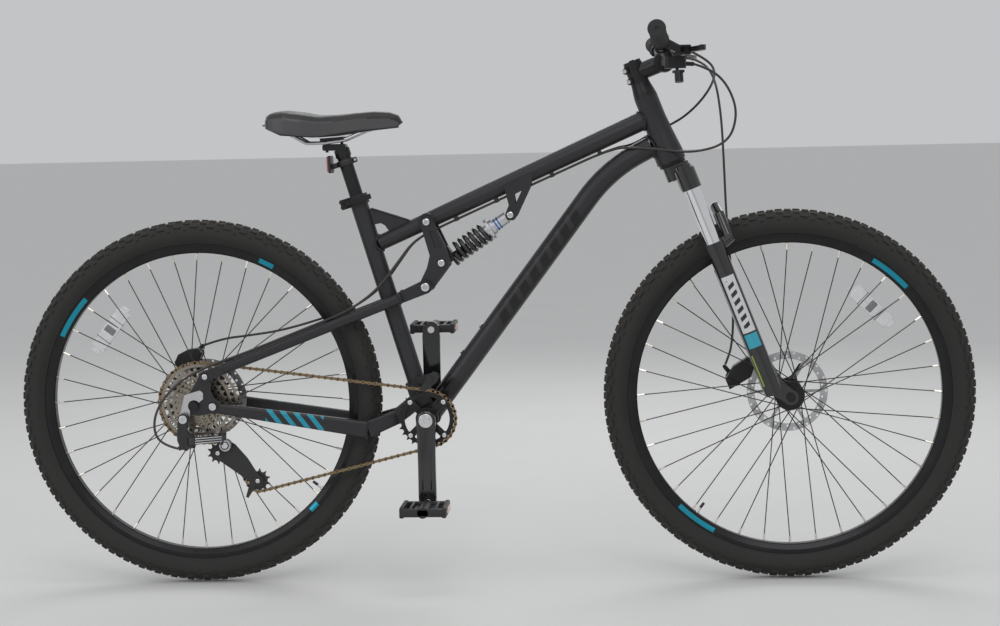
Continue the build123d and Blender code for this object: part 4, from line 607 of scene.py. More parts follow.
def makeSpokes(name, axle, body, flanges, nodeName, reflectorAngle, reflectorY, valveAngle):
    bm = bmesh.new()
    for flangeIndex, flangeY in enumerate(flanges):
        out = 1 if flangeY > 0 else -1
        for index in range(wheel["spokesPerSide"]):
            lead = 1 if index % 2 == 0 else -1
            hubAngle = radians(index * 360 / wheel["spokesPerSide"] + flangeIndex * 10)
            rimAngle = hubAngle + radians(60 * lead)
            seat = 0.0015 + 0.0009 + 0.0008
            inner = axle + Vector((0.026 * cos(hubAngle), flangeY + lead * out * seat, 0.026 * sin(hubAngle)))
            edge = wheel["rimInner"] - 0.0002
            outer = axle + Vector((edge * cos(rimAngle), out * (0.0024 + lead * 0.0012),
                                   edge * sin(rimAngle)))
            way = (outer - inner).normalized()
            addCylinder(bm, inner, outer - way * 0.004, wheel["spokeRadius"], segments=8)
            addCylinder(bm, outer - way * 0.014, outer, wheel["nippleRadius"], 0.0024, segments=8, paint=1)
            head = Vector((inner.x, flangeY - lead * out * 0.0022, inner.z))
            addCylinder(bm, inner, head, 0.0010, segments=6)
            bmesh.ops.create_uvsphere(
                bm, u_segments=8, v_segments=5, radius=0.0017, matrix=Matrix.Translation(head),
            )
    newPiece(name, bm, body, ["spokeBlack", "nippleSilver"], [nodeName], merge=0)
    bm = bmesh.new()
    way = Vector((cos(radians(reflectorAngle)), 0, sin(radians(reflectorAngle))))
    place = turned(left, way.cross(left))
    middle = axle + way * 0.235 + left * (reflectorY + 0.0035)
    addBlock(bm, middle, (0.0955, 0.0315, 0.0062), place, 0.0028, 3)
    for end in (-1, 1):
        spot = middle + (place @ Vector((end * 0.0465, 0, 0)))
        addBlock(bm, spot, (0.020, 0.019, 0.0050), place, 0.0020, 3)
    addBlock(bm, middle, (0.0150, 0.0240, 0.0070), place, 0.0015, paint=1)
    for end in (-1, 1):
        addBlock(bm, middle + (place @ Vector((end * 0.0230, 0, 0))), (0.0016, 0.0326, 0.0066), place,
                 paint=1)
    newPiece(name + "Reflector", bm, body, ["clearLens", "greyPlastic"])
    bm = bmesh.new()
    way = Vector((cos(radians(valveAngle)), 0, sin(radians(valveAngle))))
    foot = axle + way * 0.2985
    addCylinder(bm, foot, foot - way * 0.0035, 0.0052, segments=12, paint=1)
    addCylinder(bm, foot, foot - way * 0.012, 0.0029, segments=16, paint=1)
    addSpun(bm, [(0.0026, 0), (0.0029, 0.001), (0.0029, 0.011), (0.0020, 0.0128), (0.0, 0.0128)],
            foot - way * 0.0115, way * -1, left, 12, 0, closed=False)
    newPiece(name + "Valve", bm, body, ["blackPlastic", "brightBolt"])


makeSpokes("frontSpokes", frontAxle, "front_wheel", (0.022, -0.033), "front_spokes", 46, 0.0084, 232)
makeSpokes("rearSpokes", rearAxle, "rear_wheel", (0.030, -0.020), "rear_spokes", 142, 0.0100, -37)
print("spokes done")

# Toothed wheels and chain
chainSet = {"pitch": 0.0127, "ringTeeth": 28, "ringY": -0.050,
            "cogTeeth": (11, 13, 15, 18, 21, 24, 28, 34, 40),
            "cogSpacing": 0.004, "largeCogY": -0.027, "pulleyY": -0.038, "rootDrop": 0.0042,
            "cogBore": 0.0156, "upperTeeth": 10, "lowerTeeth": 11}
upperPulley = Vector((-0.5475, 0, 0.267))
lowerPulley = Vector((-0.4688, 0, 0.2103))


# share of the pitch, and lift above the root
toothShape = ((0.0, 0.0), (0.18, 0.0), (0.36, 0.0030), (0.46, 0.0062), (0.54, 0.0062), (0.64, 0.0030),
              (0.82, 0.0))


def pitchRadius(teeth):
    return chainSet["pitch"] / (2 * sin(pi / teeth))


def addSprocket(bm, centre, y, teeth, innerRadius, thickness, paint=0, phase=0.0):
    # a ring whose outer edge rises into a tooth between each pair of rollers
    root = pitchRadius(teeth) - chainSet["rootDrop"]
    axisPoint = Vector((centre.x, y - thickness / 2, centre.z))
    step = 2 * pi / teeth
    loop = [(root + lift, step * share + phase) for share, lift in toothShape]
    inner = [(innerRadius, step * share + phase) for share in (0.0, 0.5)]

    def spot(radius, angle, depth):
        return axisPoint + Vector((radius * cos(angle), depth, radius * sin(angle)))

    outer = [bm.verts.new(spot(radius, angle, 0)) for radius, angle in loop + [(root, step + phase)]]
    inner.append((innerRadius, step + phase))
    innerVerts = [bm.verts.new(spot(radius, angle, 0)) for radius, angle in inner]
    made = [bm.faces.new(outer + innerVerts[::-1])]
    grown = bmesh.ops.extrude_face_region(bm, geom=made)
    top = [item for item in grown["geom"] if isinstance(item, bmesh.types.BMVert)]
    bmesh.ops.translate(bm, vec=(0, thickness, 0), verts=top)
    verts = outer + innerVerts + top
    faces = {face for vert in verts for face in vert.link_faces}
    seam = [face for face in faces if len(face.verts) == 4 and isRadial(face, axisPoint)]
    bmesh.ops.delete(bm, geom=seam, context="FACES_ONLY")
    faces = {face for vert in verts for face in vert.link_faces}
    edges = {edge for vert in verts for edge in vert.link_edges}
    for face in faces:
        face.material_index = paint
    spreadRound(bm, verts + list(edges) + list(faces), axisPoint, left, teeth)


def isRadial(face, centre):
    # a side wall lying in a plane through the axle
    flat = face.calc_center_median() - centre
    flat.y = 0
    face.normal_update()
    return abs(face.normal.dot(flat.normalized())) < 0.02 and abs(face.normal.y) < 0.02


def closeUp(bm):
    bmesh.ops.remove_doubles(bm, verts=bm.verts, dist=0.00002)
    bmesh.ops.recalc_face_normals(bm, faces=bm.faces)


bm = bmesh.new()
for index, teeth in enumerate(chainSet["cogTeeth"]):
    y = chainSet["largeCogY"] - chainSet["cogSpacing"] * (len(chainSet["cogTeeth"]) - 1 - index)
    outerRadius = pitchRadius(teeth) - chainSet["rootDrop"]
    innerRadius = max(chainSet["cogBore"], outerRadius - (0.0052 if teeth > 24 else 0.0044))
    if teeth < 18:
        innerRadius = chainSet["cogBore"]
    addSprocket(bm, rearAxle, y, teeth, innerRadius, 0.0018, phase=index * 0.09)
    if innerRadius > 0.017:
        before = set(bm.verts)
        for arm in (0.5, -0.5):
            angle = arm * 0.28 + index * 0.09
            reach = (innerRadius + 0.002 + 0.0165) / 2
            spot = Vector((rearAxle.x + cos(angle) * reach, y, rearAxle.z + sin(angle) * reach))
            addBlock(bm, spot, (innerRadius + 0.002 - 0.0165, 0.0016, 0.0052),
                     Matrix.Rotation(-angle, 4, "Y"), paint=1)
        verts = [vert for vert in bm.verts if vert not in before]
        edges = {edge for vert in verts for edge in vert.link_edges}
        faces = {face for vert in verts for face in vert.link_faces}
        spreadRound(bm, verts + list(edges) + list(faces), Vector((rearAxle.x, y, rearAxle.z)), left, 7)
closeUp(bm)
addSpun(bm, [(0.0152, -0.0602), (0.0182, -0.0602), (0.0182, -0.0262), (0.0152, -0.0262)],
        rearAxle, left, Vector((1, 0, 0)), 48)
addSpun(bm, [(0.0100, -0.0612), (0.0172, -0.0612), (0.0172, -0.0590), (0.0100, -0.0590)],
        rearAxle, left, Vector((1, 0, 0)), 36)
newPiece("cassetteCogs", bm, "rear_wheel", ["cassetteSteel", "blackAlloy"], ["cassette"],
         sharp=30, merge=0)

bm = bmesh.new()
addSprocket(bm, bottomBracket, chainSet["ringY"], chainSet["ringTeeth"], 0.0445, 0.0022)
closeUp(bm)
for index in range(4):
    angle = radians(45 + 90 * index)
    arm = Vector((cos(angle), 0, sin(angle)))
    place = Matrix.Rotation(-angle, 4, "Y")
    addBlock(bm, bottomBracket + arm * 0.032 + left * chainSet["ringY"], (0.030, 0.0032, 0.0135), place,
             0.0012)
    addBlock(bm, bottomBracket + arm * 0.0475 + left * chainSet["ringY"], (0.010, 0.0028, 0.017), place,
             0.0010)
    hexHead(bm, bottomBracket + arm * 0.0465 + left * (chainSet["ringY"] - 0.0014), left * -1, 0.0046,
            0.0018, 1)
addSpun(bm, [(0.0172, -0.0548), (0.0215, -0.0548), (0.0225, -0.0535), (0.0225, -0.0488), (0.0172, -0.0488)],
        bottomBracket, left, Vector((1, 0, 0)), 48)
newPiece("chainringToothed", bm, "crank", ["blackAlloy", "brightBolt"], ["chainring"], merge=0)

crank = {"hub": 0.0195, "tip": 0.0168, "waist": 0.0160, "innerY": 0.0662, "outerY": 0.0815}


def crankWidth(share):
    # half width along the arm: round hub, slimmer waist, round tip
    return crank["waist"] + (crank["hub"] - crank["waist"]) * (1 - share) ** 3 + 0.002 * share


bm = bmesh.new()
for side in (-1, 1):
    foot = bottomBracket + up * 0.165 * side
    for depthStart, depthEnd in ((crank["innerY"], 0.0768), (0.0766, crank["outerY"])):
        outline = []
        for step in range(13):
            angle = radians(180 + 15 * step)
            outline.append(Vector((crank["hub"] * cos(angle), 0, crank["hub"] * sin(angle) * side)))
        for step in range(1, 12):
            share = step / 12
            outline.append(Vector((crankWidth(share), 0, 0.165 * share * side)))
        for step in range(13):
            angle = radians(15 * step)
            outline.append(Vector((crank["tip"] * cos(angle), 0, (0.165 + crank["tip"] * sin(angle)) * side)))
        for step in range(11, 0, -1):
            share = step / 12
            outline.append(Vector((-crankWidth(share), 0, 0.165 * share * side)))
        verts = [bm.verts.new(bottomBracket + point + left * side * depthStart) for point in outline]
        face = bm.faces.new(verts)
        grown = bmesh.ops.extrude_face_region(bm, geom=[face])
        top = [item for item in grown["geom"] if isinstance(item, bmesh.types.BMVert)]
        bmesh.ops.translate(bm, vec=left * side * (depthEnd - depthStart), verts=top)
        if depthEnd == crank["outerY"]:
            lid = [item for item in grown["geom"] if isinstance(item, bmesh.types.BMFace)]
            rimEdges = [edge for edge in lid[0].edges]
            bmesh.ops.bevel(bm, geom=rimEdges, offset=0.0042, segments=3, profile=0.5, affect="EDGES",
                            material=-1)
    # long groove down the outer face, shown as a raised rib pair
    for ribX in (-0.0085, 0.0085):
        addBlock(bm, bottomBracket + Vector((ribX, side * (crank["outerY"] + 0.0001), side * 0.087)),
                 (0.0024, 0.0016, 0.100), None, 0.0006)
    for centre, radius in ((bottomBracket, 0.0135), (foot, 0.0098)):
        ringStart = centre + left * side * crank["outerY"]
        addSpun(bm, [(radius * 0.62, 0.0), (radius * 0.62, 0.0012), (radius * 0.9, 0.0014), (radius, 0.0008),
                     (radius, -0.001)], ringStart, left * side, Vector((1, 0, 0)), 36, 1)
    addCylinder(bm, bottomBracket + left * side * 0.054, bottomBracket + left * side * crank["innerY"],
                0.0168, segments=40)
addCylinder(bm, bottomBracket - left * 0.0835, bottomBracket + left * 0.0835, 0.0084, segments=24, paint=1)
newPiece("crankArms", bm, "crank", ["glossBlack", "brightBolt"], ["crank_arms"], merge=0)

for name, centre, teeth, body in (
    ("upperJockey", upperPulley, chainSet["upperTeeth"], "top_jockey"),
    ("lowerJockey", lowerPulley, chainSet["lowerTeeth"], "bottom_jockey"),
):
    bm = bmesh.new()
    addSprocket(bm, centre, chainSet["pulleyY"], teeth, 0.0095, 0.0022)
    closeUp(bm)
    middle = Vector((centre.x, chainSet["pulleyY"], centre.z))
    addSpun(bm, [(0.0027, -0.0032), (0.0058, -0.0032), (0.0062, -0.0010), (0.0100, -0.0008), (0.0100, 0.0008),
                 (0.0062, 0.0010), (0.0058, 0.0032), (0.0027, 0.0032)], middle, left, Vector((1, 0, 0)), 24)
    newPiece(name, bm, body, "blackPlastic",
             ["upper_pulley" if body == "top_jockey" else "lower_pulley"], merge=0)

# the chain's path: straight runs tangent to the wheels, with arcs round them
wheels = [
    (bottomBracket, pitchRadius(chainSet["ringTeeth"]), chainSet["ringY"], 1),
    (rearAxle, pitchRadius(chainSet["cogTeeth"][-1]), chainSet["largeCogY"], 1),
    (upperPulley, pitchRadius(chainSet["upperTeeth"]), chainSet["pulleyY"], -1),
    (lowerPulley, pitchRadius(chainSet["lowerTeeth"]), chainSet["pulleyY"], 1),
]


def tangentRun(first, second):
    centreA, radiusA, yA, senseA = first
    centreB, radiusB, yB, senseB = second
    span = centreB - centreA
    crossed = senseB * radiusB - senseA * radiusA
    heading = atan2(span.z, span.x) - asin(crossed / Vector((span.x, span.z)).length)
    side = Vector((-sin(heading), 0, cos(heading)))
    start = centreA - side * (senseA * radiusA)
    end = centreB - side * (senseB * radiusB)
    return Vector((start.x, yA, start.z)), Vector((end.x, yB, end.z))


runs = [tangentRun(wheels[index], wheels[(index + 1) % 4]) for index in range(4)]
chainPath = []
for index, (centre, radius, y, sense) in enumerate(wheels):
    start, end = runs[index]
    arrive = runs[index - 1][1]
    first = atan2(arrive.z - centre.z, arrive.x - centre.x)
    turn = (atan2(start.z - centre.z, start.x - centre.x) - first) * sense % (2 * pi) * sense
    for step in range(24):
        angle = first + turn * step / 24
        chainPath.append(Vector((centre.x + radius * cos(angle), y, centre.z + radius * sin(angle))))
    for step in range(24):
        chainPath.append(start.lerp(end, step / 24))
lengths = [(chainPath[(i + 1) % len(chainPath)] - chainPath[i]).length for i in range(len(chainPath))]
linkCount = 2 * round(sum(lengths) / chainSet["pitch"] / 2)
linkPitch = sum(lengths) / linkCount


def chainSpot(distance):
    distance %= sum(lengths)
    for index, length in enumerate(lengths):
        if distance <= length:
            return chainPath[index].lerp(chainPath[(index + 1) % len(chainPath)], distance / length)
        distance -= length
    return chainPath[0].copy()


bm = bmesh.new()
for index in range(linkCount):
    here = chainSpot(index * linkPitch)
    there = chainSpot((index + 1) * linkPitch)
    way = there - here
    place = turned(left, way)
    offset = 0.0024 if index % 2 else 0.0013
    for side in (-1, 1):
        plate = left * side * offset
        for end in (here, there):
            addCylinder(bm, end + plate - left * 0.0004, end + plate + left * 0.0004, 0.0037, segments=10)
        addBlock(bm, (here + there) / 2 + plate, (way.length, 0.0048, 0.0008), place)
    addCylinder(bm, here - left * 0.0012, here + left * 0.0012, 0.0036, segments=10)
    addCylinder(bm, here - left * 0.0028, here + left * 0.0028, 0.0015, segments=8, paint=1)
chainPiece = newPiece("rollerChain", bm, None, ["chainSteel", "brightBolt"], ["chain"],
                      merge=0)
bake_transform(chainPiece)
print("drive train done:", linkCount, "links")

# Coil spring and shock details
shockWay = (shockRearEye - shockFrontEye).normalized()
spring = {"front": 0.0535, "rear": 0.1375, "wire": 0.0044, "coil": 0.0182, "turns": 6.5}
bm = bmesh.new()
springStart = shockFrontEye + shockWay * (spring["front"] + spring["wire"])
springLength = spring["rear"] - spring["front"] - 2 * spring["wire"]
ring = bmesh.ops.create_circle(
    bm, cap_ends=True, segments=14, radius=spring["wire"],
    matrix=Matrix.Translation(springStart + left * spring["coil"]) @ turned(shockWay.cross(left)),
)
stepsPerTurn = 28
springSteps = int(spring["turns"] * stepsPerTurn)
springFaces = list({face for vert in ring["verts"] for face in vert.link_faces})
bmesh.ops.spin(
    bm, geom=ring["verts"] + list({edge for vert in ring["verts"] for edge in vert.link_edges}) + springFaces,
    cent=springStart, axis=shockWay, dvec=shockWay * (springLength / springSteps),
    angle=2 * pi * spring["turns"], steps=springSteps,
)
bmesh.ops.recalc_face_normals(bm, faces=bm.faces)
springPiece = newPiece("shockCoil", bm, "shock_front", "springBlack", ["shock_spring"],
                       sharp=50)
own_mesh(springPiece)

bm = bmesh.new()
for start, end, radius in ((0.0395, 0.0465, 0.0168), (0.0470, 0.0526, 0.0238)):
    addSpun(bm, [(0.0130, 0), (radius, 0), (radius, end - start), (0.0130, end - start)],
            shockFrontEye + shockWay * start, shockWay, left, 40)
for index in range(12):
    angle = 2 * pi * index / 12
    side = left * cos(angle) + shockWay.cross(left) * sin(angle)
    addBlock(bm, shockFrontEye + shockWay * 0.0498 + side * 0.0236, (0.0018, 0.0018, 0.0046),
             turned(shockWay), 0.0003)
newPiece("preloadCollar", bm, "shock_front", "silverAlloy")
bm = bmesh.new()
for place in (0.0270, 0.0335):
    addSpun(bm, [(0.0128, 0), (0.01345, 0), (0.01345, 0.0026), (0.0128, 0.0026)],
            shockFrontEye + shockWay * place, shockWay, left, 40)
newPiece("shockBands", bm, "shock_front", "blueAnodised")
print("shock done")

# Weld beads
bm = bmesh.new()
topWay = Vector((0.542, 0, 0.2388)).normalized()
downWay = Vector((0.891, 0, 0.454)).normalized()
seatRod = insideRod(seatTop, seatDown, 0.0188)
headRod = insideRod(headMiddle, steerDown, 0.0262)
topStart = Vector((0.22, 0, 0.8697))
weldBead(bm, jointLine(topStart, topWay, 0.0172, 0.0186, headRod, 62), 0.0024)
weldBead(bm, jointLine(topStart - topWay * 0.36, topWay * -1, 0.0172, 0.0160, seatRod, 54), 0.0024)
headLow = insideRod(headMiddle, steerDown, 0.0292)
weldBead(bm, jointLine(Vector((0.286, 0, 0.8384)), downWay, 0.0212, 0.0212, headLow, 66), 0.0025)
shellRod = insideRod(bottomBracket, left, 0.0212)
lowWay = Vector((0.603, 0, 0.798)).normalized()
weldBead(bm, jointLine(bottomBracket + lowWay * 0.07, lowWay * -1, 0.0212, 0.0212, shellRod, 66), 0.0025)
for side in (-1, 1):
    # gusset edges between seat tube and top tube, and the feet of the shock bracket
    for first, last in (((-0.2320, 0.7455), (-0.1600, 0.7220)), ((0.0330, 0.7850), (0.0880, 0.8095))):
        y = side * (0.0065 if first[0] < 0 else 0.0178)
        count = 30
        weldBead(bm, [Vector((first[0], y, first[1])).lerp(Vector((last[0], y, last[1])), step / (count - 1))
                      for step in range(count)], 0.0019)
newPiece("frameWelds", bm, "frame", "weldPaint", sharp=60, merge=0)

for name, body, node, places in (
    ("seatstayWelds", "seatstay_link", "seatstays",
     ((Vector((-0.1775, 0.040, 0.5690)), Vector((-0.356, 0.0315, -0.1340)), 0.0100, 0.0104),)),
    ("chainstayWelds", "swingarm", "chainstays",
     ((Vector((-0.2460, 0.050, 0.3120)), Vector((-0.289, 0.0215, 0.0475)), 0.0092, 0.0164),)),
):
    bm = bmesh.new()
    for centre, way, wide, tall in places:
        for side in (-1, 1):
            middle = Vector((centre.x, side * centre.y, centre.z))
            along = Vector((way.x, side * way.y, way.z)).normalized()
            high = along.cross(left).normalized()
            flat = high.cross(along).normalized()
            points = []
            for index in range(44):
                angle = 2 * pi * index / 44
                points.append(middle + flat * wide * max(-1, min(1, 1.25 * cos(angle)))
                              + high * tall * max(-1, min(1, 1.25 * sin(angle))))
            weldBead(bm, points, 0.0020)
    newPiece(name, bm, body, "weldPaint", sharp=60, merge=0)
print("welds done")

# Bolts and caps
boltSets = {
    "rockerBolts": ("rocker", "black_alloy", [
        (rockerPivot, 0.0355, 0.0066, 0.0022), (shockRearEye, 0.0355, 0.0066, 0.0022),
        (stayPivot, 0.0445, 0.0080, 0.0022)]),
    "shockBolts": ("frame", "frame_paint", [(shockFrontEye, 0.0250, 0.0062, 0.0020)]),
    "dropoutBolts": ("seatstay_link", "frame_paint", [(dropoutPivot, 0.0825, 0.0052, 0.0018)]),
    "stayBolts": ("swingarm", "frame_paint", [(Vector((-0.548, 0, 0.364)), 0.0785, 0.0070, 0.0016)]),
    "crankBolts": ("crank", "gloss_black", [(bottomBracket, 0.0840, 0.0085, 0.0016)]),
}
for name, (body, slotName, places) in boltSets.items():
    bm = bmesh.new()
    for point, reach, radius, height in places:
        for side in (-1, 1):
            if name == "stayBolts" and side > 0:
                continue
            hexHead(bm, point + left * side * reach, left * side, radius, height)
    newPiece(name, bm, body, "brightBolt", merge=0)

bm = bmesh.new()
for lift in (-0.011, 0.011):
    hexHead(bm, steerPoint(-0.115 + lift, -0.020, -0.0170), left * -1, 0.0040, 0.0030)
barMiddle = steerPoint(-0.115, 0.059)
for lift in (-0.0165, 0.0165):
    for side in (-0.018, 0.018):
        hexHead(bm, barMiddle + steerDown * lift + steerAhead * 0.0115 + left * side, steerAhead, 0.0032,
                0.0030)
newPiece("stemBolts", bm, "steering", "brightBolt", merge=0)
bm = bmesh.new()
bossOut = Vector((-0.797789, 0, 0.602936))
for foot in (Vector((-0.058137, 0, 0.457448)), Vector((-0.019549, 0, 0.508506))):
    hexHead(bm, foot + bossOut * 0.0014, bossOut, 0.0042, 0.0022)
newPiece("bottleBolts", bm, "frame", "brightBolt", merge=0)
print("bolts done")

# Grips
grip = {"radius": 0.0158, "ribs": 20}


def barPoint(y):
    side = 1 if y > 0 else -1
    reach = abs(y)
    share = (reach - 0.100) / (0.350 - 0.100)
    return Vector((barMiddle.x - 0.004 - 0.0136 * share, side * reach, barMiddle.z + 0.019 + 0.0283 * share))


for sideName, side in (("Right", -1), ("Left", 1)):
    bm = bmesh.new()
    inner = barPoint(side * 0.227)
    outer = barPoint(side * 0.350)
    way = (outer - inner).normalized()
    total = (outer - inner).length
    profile = [(0.01115, 0.0), (0.0168, 0.0), (0.0173, 0.0008), (0.0173, 0.0034), (0.0165, 0.0044),
               (0.0152, 0.0050)]
    for rib in range(grip["ribs"]):
        start = 0.0065 + rib * (total - 0.0125) / grip["ribs"]
        pitch = (total - 0.0125) / grip["ribs"]
        profile += [(0.0148, start), (0.0156, start + pitch * 0.15), (grip["radius"], start + pitch * 0.35),
                    (grip["radius"], start + pitch * 0.62), (0.0156, start + pitch * 0.80)]
    profile += [(0.0150, total - 0.0055), (0.0166, total - 0.0035), (0.0168, total + 0.0018),
                (0.0160, total + 0.0036), (0.0135, total + 0.0039), (0.0040, total + 0.0039),
                (0.0032, total + 0.0022), (0.0, total + 0.0022)]
    addSpun(bm, profile, inner, way, up.cross(way).normalized(), 48, closed=False)
    newPiece("grip" + sideName, bm, "steering", "gripRubber",
             ["grips"] if side < 0 else (), sharp=40)
print("grips done")

# Pedals
pedal = {"length": 0.0905, "width": 0.0905, "height": 0.0205, "innerY": 0.0872}
for sideName, side, body in (("Right", -1, "right_pedal"), ("Left", 1, "left_pedal")):
    spindle = bottomBracket + up * 0.165 * side
    centre = Vector((spindle.x, side * (pedal["innerY"] + pedal["width"] / 2), spindle.z))
    bm = bmesh.new()
    half = pedal["length"] / 2
    wide = pedal["width"] / 2
    for end in (-1, 1):
        addBlock(bm, centre + Vector((end * (half - 0.0045), 0, 0)),
                 (0.009, pedal["width"], pedal["height"]), None, 0.0025)
        for index in range(6):
            y = centre.y - wide + 0.010 + index * (pedal["width"] - 0.020) / 5
            for rise in (-1, 1):
                addBlock(bm, Vector((centre.x + end * (half - 0.0048), y, centre.z + rise * 0.0098)),
                         (0.0062, 0.0065, 0.0024), None, 0.0006)
        addBlock(bm, centre + Vector((0, end * (wide - 0.0045), 0)),
                 (pedal["length"] - 0.01, 0.009, pedal["height"] * 0.8),
                 None, 0.0025)
        for rise in (-1, 1):
            addBlock(bm, centre + Vector((end * 0.024, 0, rise * 0.0062)),
                     (0.0055, pedal["width"] - 0.012, 0.0045), None, 0.001)
        addBlock(bm, centre + Vector((end * (half - 0.0004), 0, 0)), (0.0034, 0.050, 0.0125), None, 0.001,
                 paint=1)
        addBlock(bm, centre + Vector((end * (half - 0.0014), 0, 0)), (0.0044, 0.056, 0.0165), None, 0.001)
        for y in (-0.032, 0.032):
            hexHead(bm, centre + Vector((end * (half + 0.0001), y, 0)), Vector((end, 0, 0)), 0.0026, 0.0010,
                    2)
    addCylinder(bm, Vector((centre.x, centre.y - wide, centre.z)),
                Vector((centre.x, centre.y + wide, centre.z)),
                0.0105, segments=32)
    for end in (-1, 1):
        addBlock(bm, centre + Vector((end * 0.016, 0, 0)), (0.022, pedal["width"] - 0.03, 0.0042), None,
                 0.001)
    addCylinder(bm, Vector((centre.x, side * 0.0655, centre.z)), Vector((centre.x, side * 0.090, centre.z)),
                0.0068,
                segments=24, paint=2)
    addCylinder(bm, Vector((centre.x, side * 0.0828, centre.z)),
                Vector((centre.x, side * 0.0874, centre.z)), 0.0090,
                segments=24, paint=2)
    newPiece("pedal" + sideName + "Cage", bm, body, ["blackPlastic", "amberLens", "brightBolt"],
             ["pedal_" + sideName.lower()], merge=0)
print("pedals done")

# Cables
cable = {"radius": 0.0024}
frontBrakeRoute = [
    (0.3966, 0.1584, 1.0339), (0.428, 0.130, 1.025), (0.452, 0.110, 0.990), (0.463, 0.100, 0.915),
    (0.467, 0.094, 0.816), (0.470, 0.091, 0.717), (0.479, 0.089, 0.600), (0.482, 0.086, 0.500),
    (0.476, 0.074, 0.450), (0.469, 0.0645, 0.432), (0.4636, 0.064, 0.4183),
]
topTubeSeat = Vector((-0.217, 0, 0.6772))
topTubeHead = Vector((0.325, 0, 0.916))


def topTubeUnder(x, y):
    way = (topTubeHead - topTubeSeat).normalized()
    high = way.cross(left).normalized()
    share = (x - topTubeSeat.x) / (topTubeHead.x - topTubeSeat.x)
    depth = (0.031 + 0.007 * share) / 2
    return tuple(topTubeSeat.lerp(topTubeHead, share) - high * (depth + 0.005) + left * y)


gearRoute = [
    (0.4032, -0.1313, 1.0109), (0.440, -0.112, 1.000), (0.472, -0.086, 0.965), (0.488, -0.062, 0.915),
    (0.470, -0.044, 0.860), (0.400, -0.038, 0.842), (0.330, -0.030, 0.853), (0.290, -0.020, 0.855),
    topTubeUnder(0.236, -0.0045), topTubeUnder(0.11, -0.0045), topTubeUnder(0.0, -0.0045),
    topTubeUnder(-0.112, -0.0045), (-0.150, -0.010, 0.680), (-0.180, -0.024, 0.640), (-0.218, -0.038, 0.590),
    (-0.262, -0.049, 0.5565), (-0.300, -0.052, 0.538), (-0.395, -0.061, 0.502), (-0.490, -0.070, 0.466),
    (-0.560, -0.077, 0.443), (-0.620, -0.084, 0.411), (-0.660, -0.088, 0.360), (-0.665, -0.088, 0.312),
    (-0.642, -0.087, 0.289), (-0.6172, -0.087, 0.2832),
]
rearBrakeRoute = [
    (0.3966, -0.1584, 1.0339), (0.430, -0.132, 1.018), (0.446, -0.086, 0.996), (0.438, -0.030, 0.968),
    (0.412, 0.014, 0.934), (0.376, 0.038, 0.905), (0.325, 0.034, 0.884), (0.285, 0.020, 0.860),
    topTubeUnder(0.236, 0.0045), topTubeUnder(0.11, 0.0045), topTubeUnder(0.0, 0.0045),
    topTubeUnder(-0.112, 0.0045), (-0.150, 0.010, 0.680), (-0.180, 0.024, 0.640), (-0.218, 0.038, 0.590),
    (-0.262, 0.049, 0.5565), (-0.300, 0.052, 0.538), (-0.420, 0.060, 0.502), (-0.500, 0.072, 0.490),
    (-0.556, 0.076, 0.484), (-0.5918, 0.076, 0.4716),
]


def cableTube(name, route):
    # a smooth tube along the route, as a mesh
    curve = bpy.data.curves.new(name, "CURVE")
    curve.dimensions = "3D"
    curve.bevel_depth = cable["radius"]
    curve.bevel_resolution = 3
    curve.use_fill_caps = True
    spline = curve.splines.new("NURBS")
    spline.points.add(len(route) - 1)
    for point, place in zip(spline.points, route):
        point.co = (*place, 1)
    spline.order_u = 3
    spline.use_endpoint_u = True
    spline.resolution_u = 10
    holder = bpy.data.objects.new(name + "Curve", curve)
    bpy.context.scene.collection.objects.link(holder)
    bpy.context.view_layer.update()
    mesh = bpy.data.meshes.new_from_object(holder.evaluated_get(bpy.context.evaluated_depsgraph_get()))
    bpy.data.objects.remove(holder)
    bm = bmesh.new()
    bm.from_mesh(mesh)
    bpy.data.meshes.remove(mesh)
    return bm


def cutAt(bm, x, keepFront):
    # keeps the part ahead of or behind a plane across the bike
    bmesh.ops.bisect_plane(
        bm, geom=bm.verts[:] + bm.edges[:] + bm.faces[:], plane_co=(x, 0, 0), plane_no=(1, 0, 0),
        clear_inner=keepFront, clear_outer=not keepFront,
    )
    bmesh.ops.holes_fill(bm, edges=[edge for edge in bm.edges if edge.is_boundary], sides=0)
    return bm


def cablePiece(name, bm, ride, blend=None, replaced=()):
    piece = newPiece(name, bm, None if blend else ride, "cableHousing", replaced, sharp=60)
    if blend:
        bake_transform(piece)
    return piece


brakeTube = cableTube("frontBrakeCable", frontBrakeRoute)
cablePiece("frontBrakeCable", brakeTube, None,
           ("steering", "fork_slider", (0.465, 0.09, 0.95), (0.478, 0.08, 0.52)), ["front_brake_cable"])
for name, route in (("gearCable", gearRoute), ("rearBrakeCable", rearBrakeRoute)):
    loop = cutAt(cableTube(name + "Loop", route), 0.10, True)
    cablePiece(name + "Loop", loop, None, ("steering", "frame", (0.44, 0, 0.9), (0.27, 0, 0.86)),
               ["control_cables"] if name == "gearCable" else ())
    run = cutAt(cutAt(cableTube(name + "Run", route), 0.10, False), -0.31, True)
    cablePiece(name + "Run", run, None, ("frame", "swingarm", (-0.14, 0, 0.69), (-0.27, 0, 0.55)))
    tail = cutAt(cableTube(name + "Tail", route), -0.31, False)
    cablePiece(name + "Tail", tail, "swingarm")
print("cables done")

# Saddle cover
saddle = {"rear": -0.437, "nose": -0.1665}
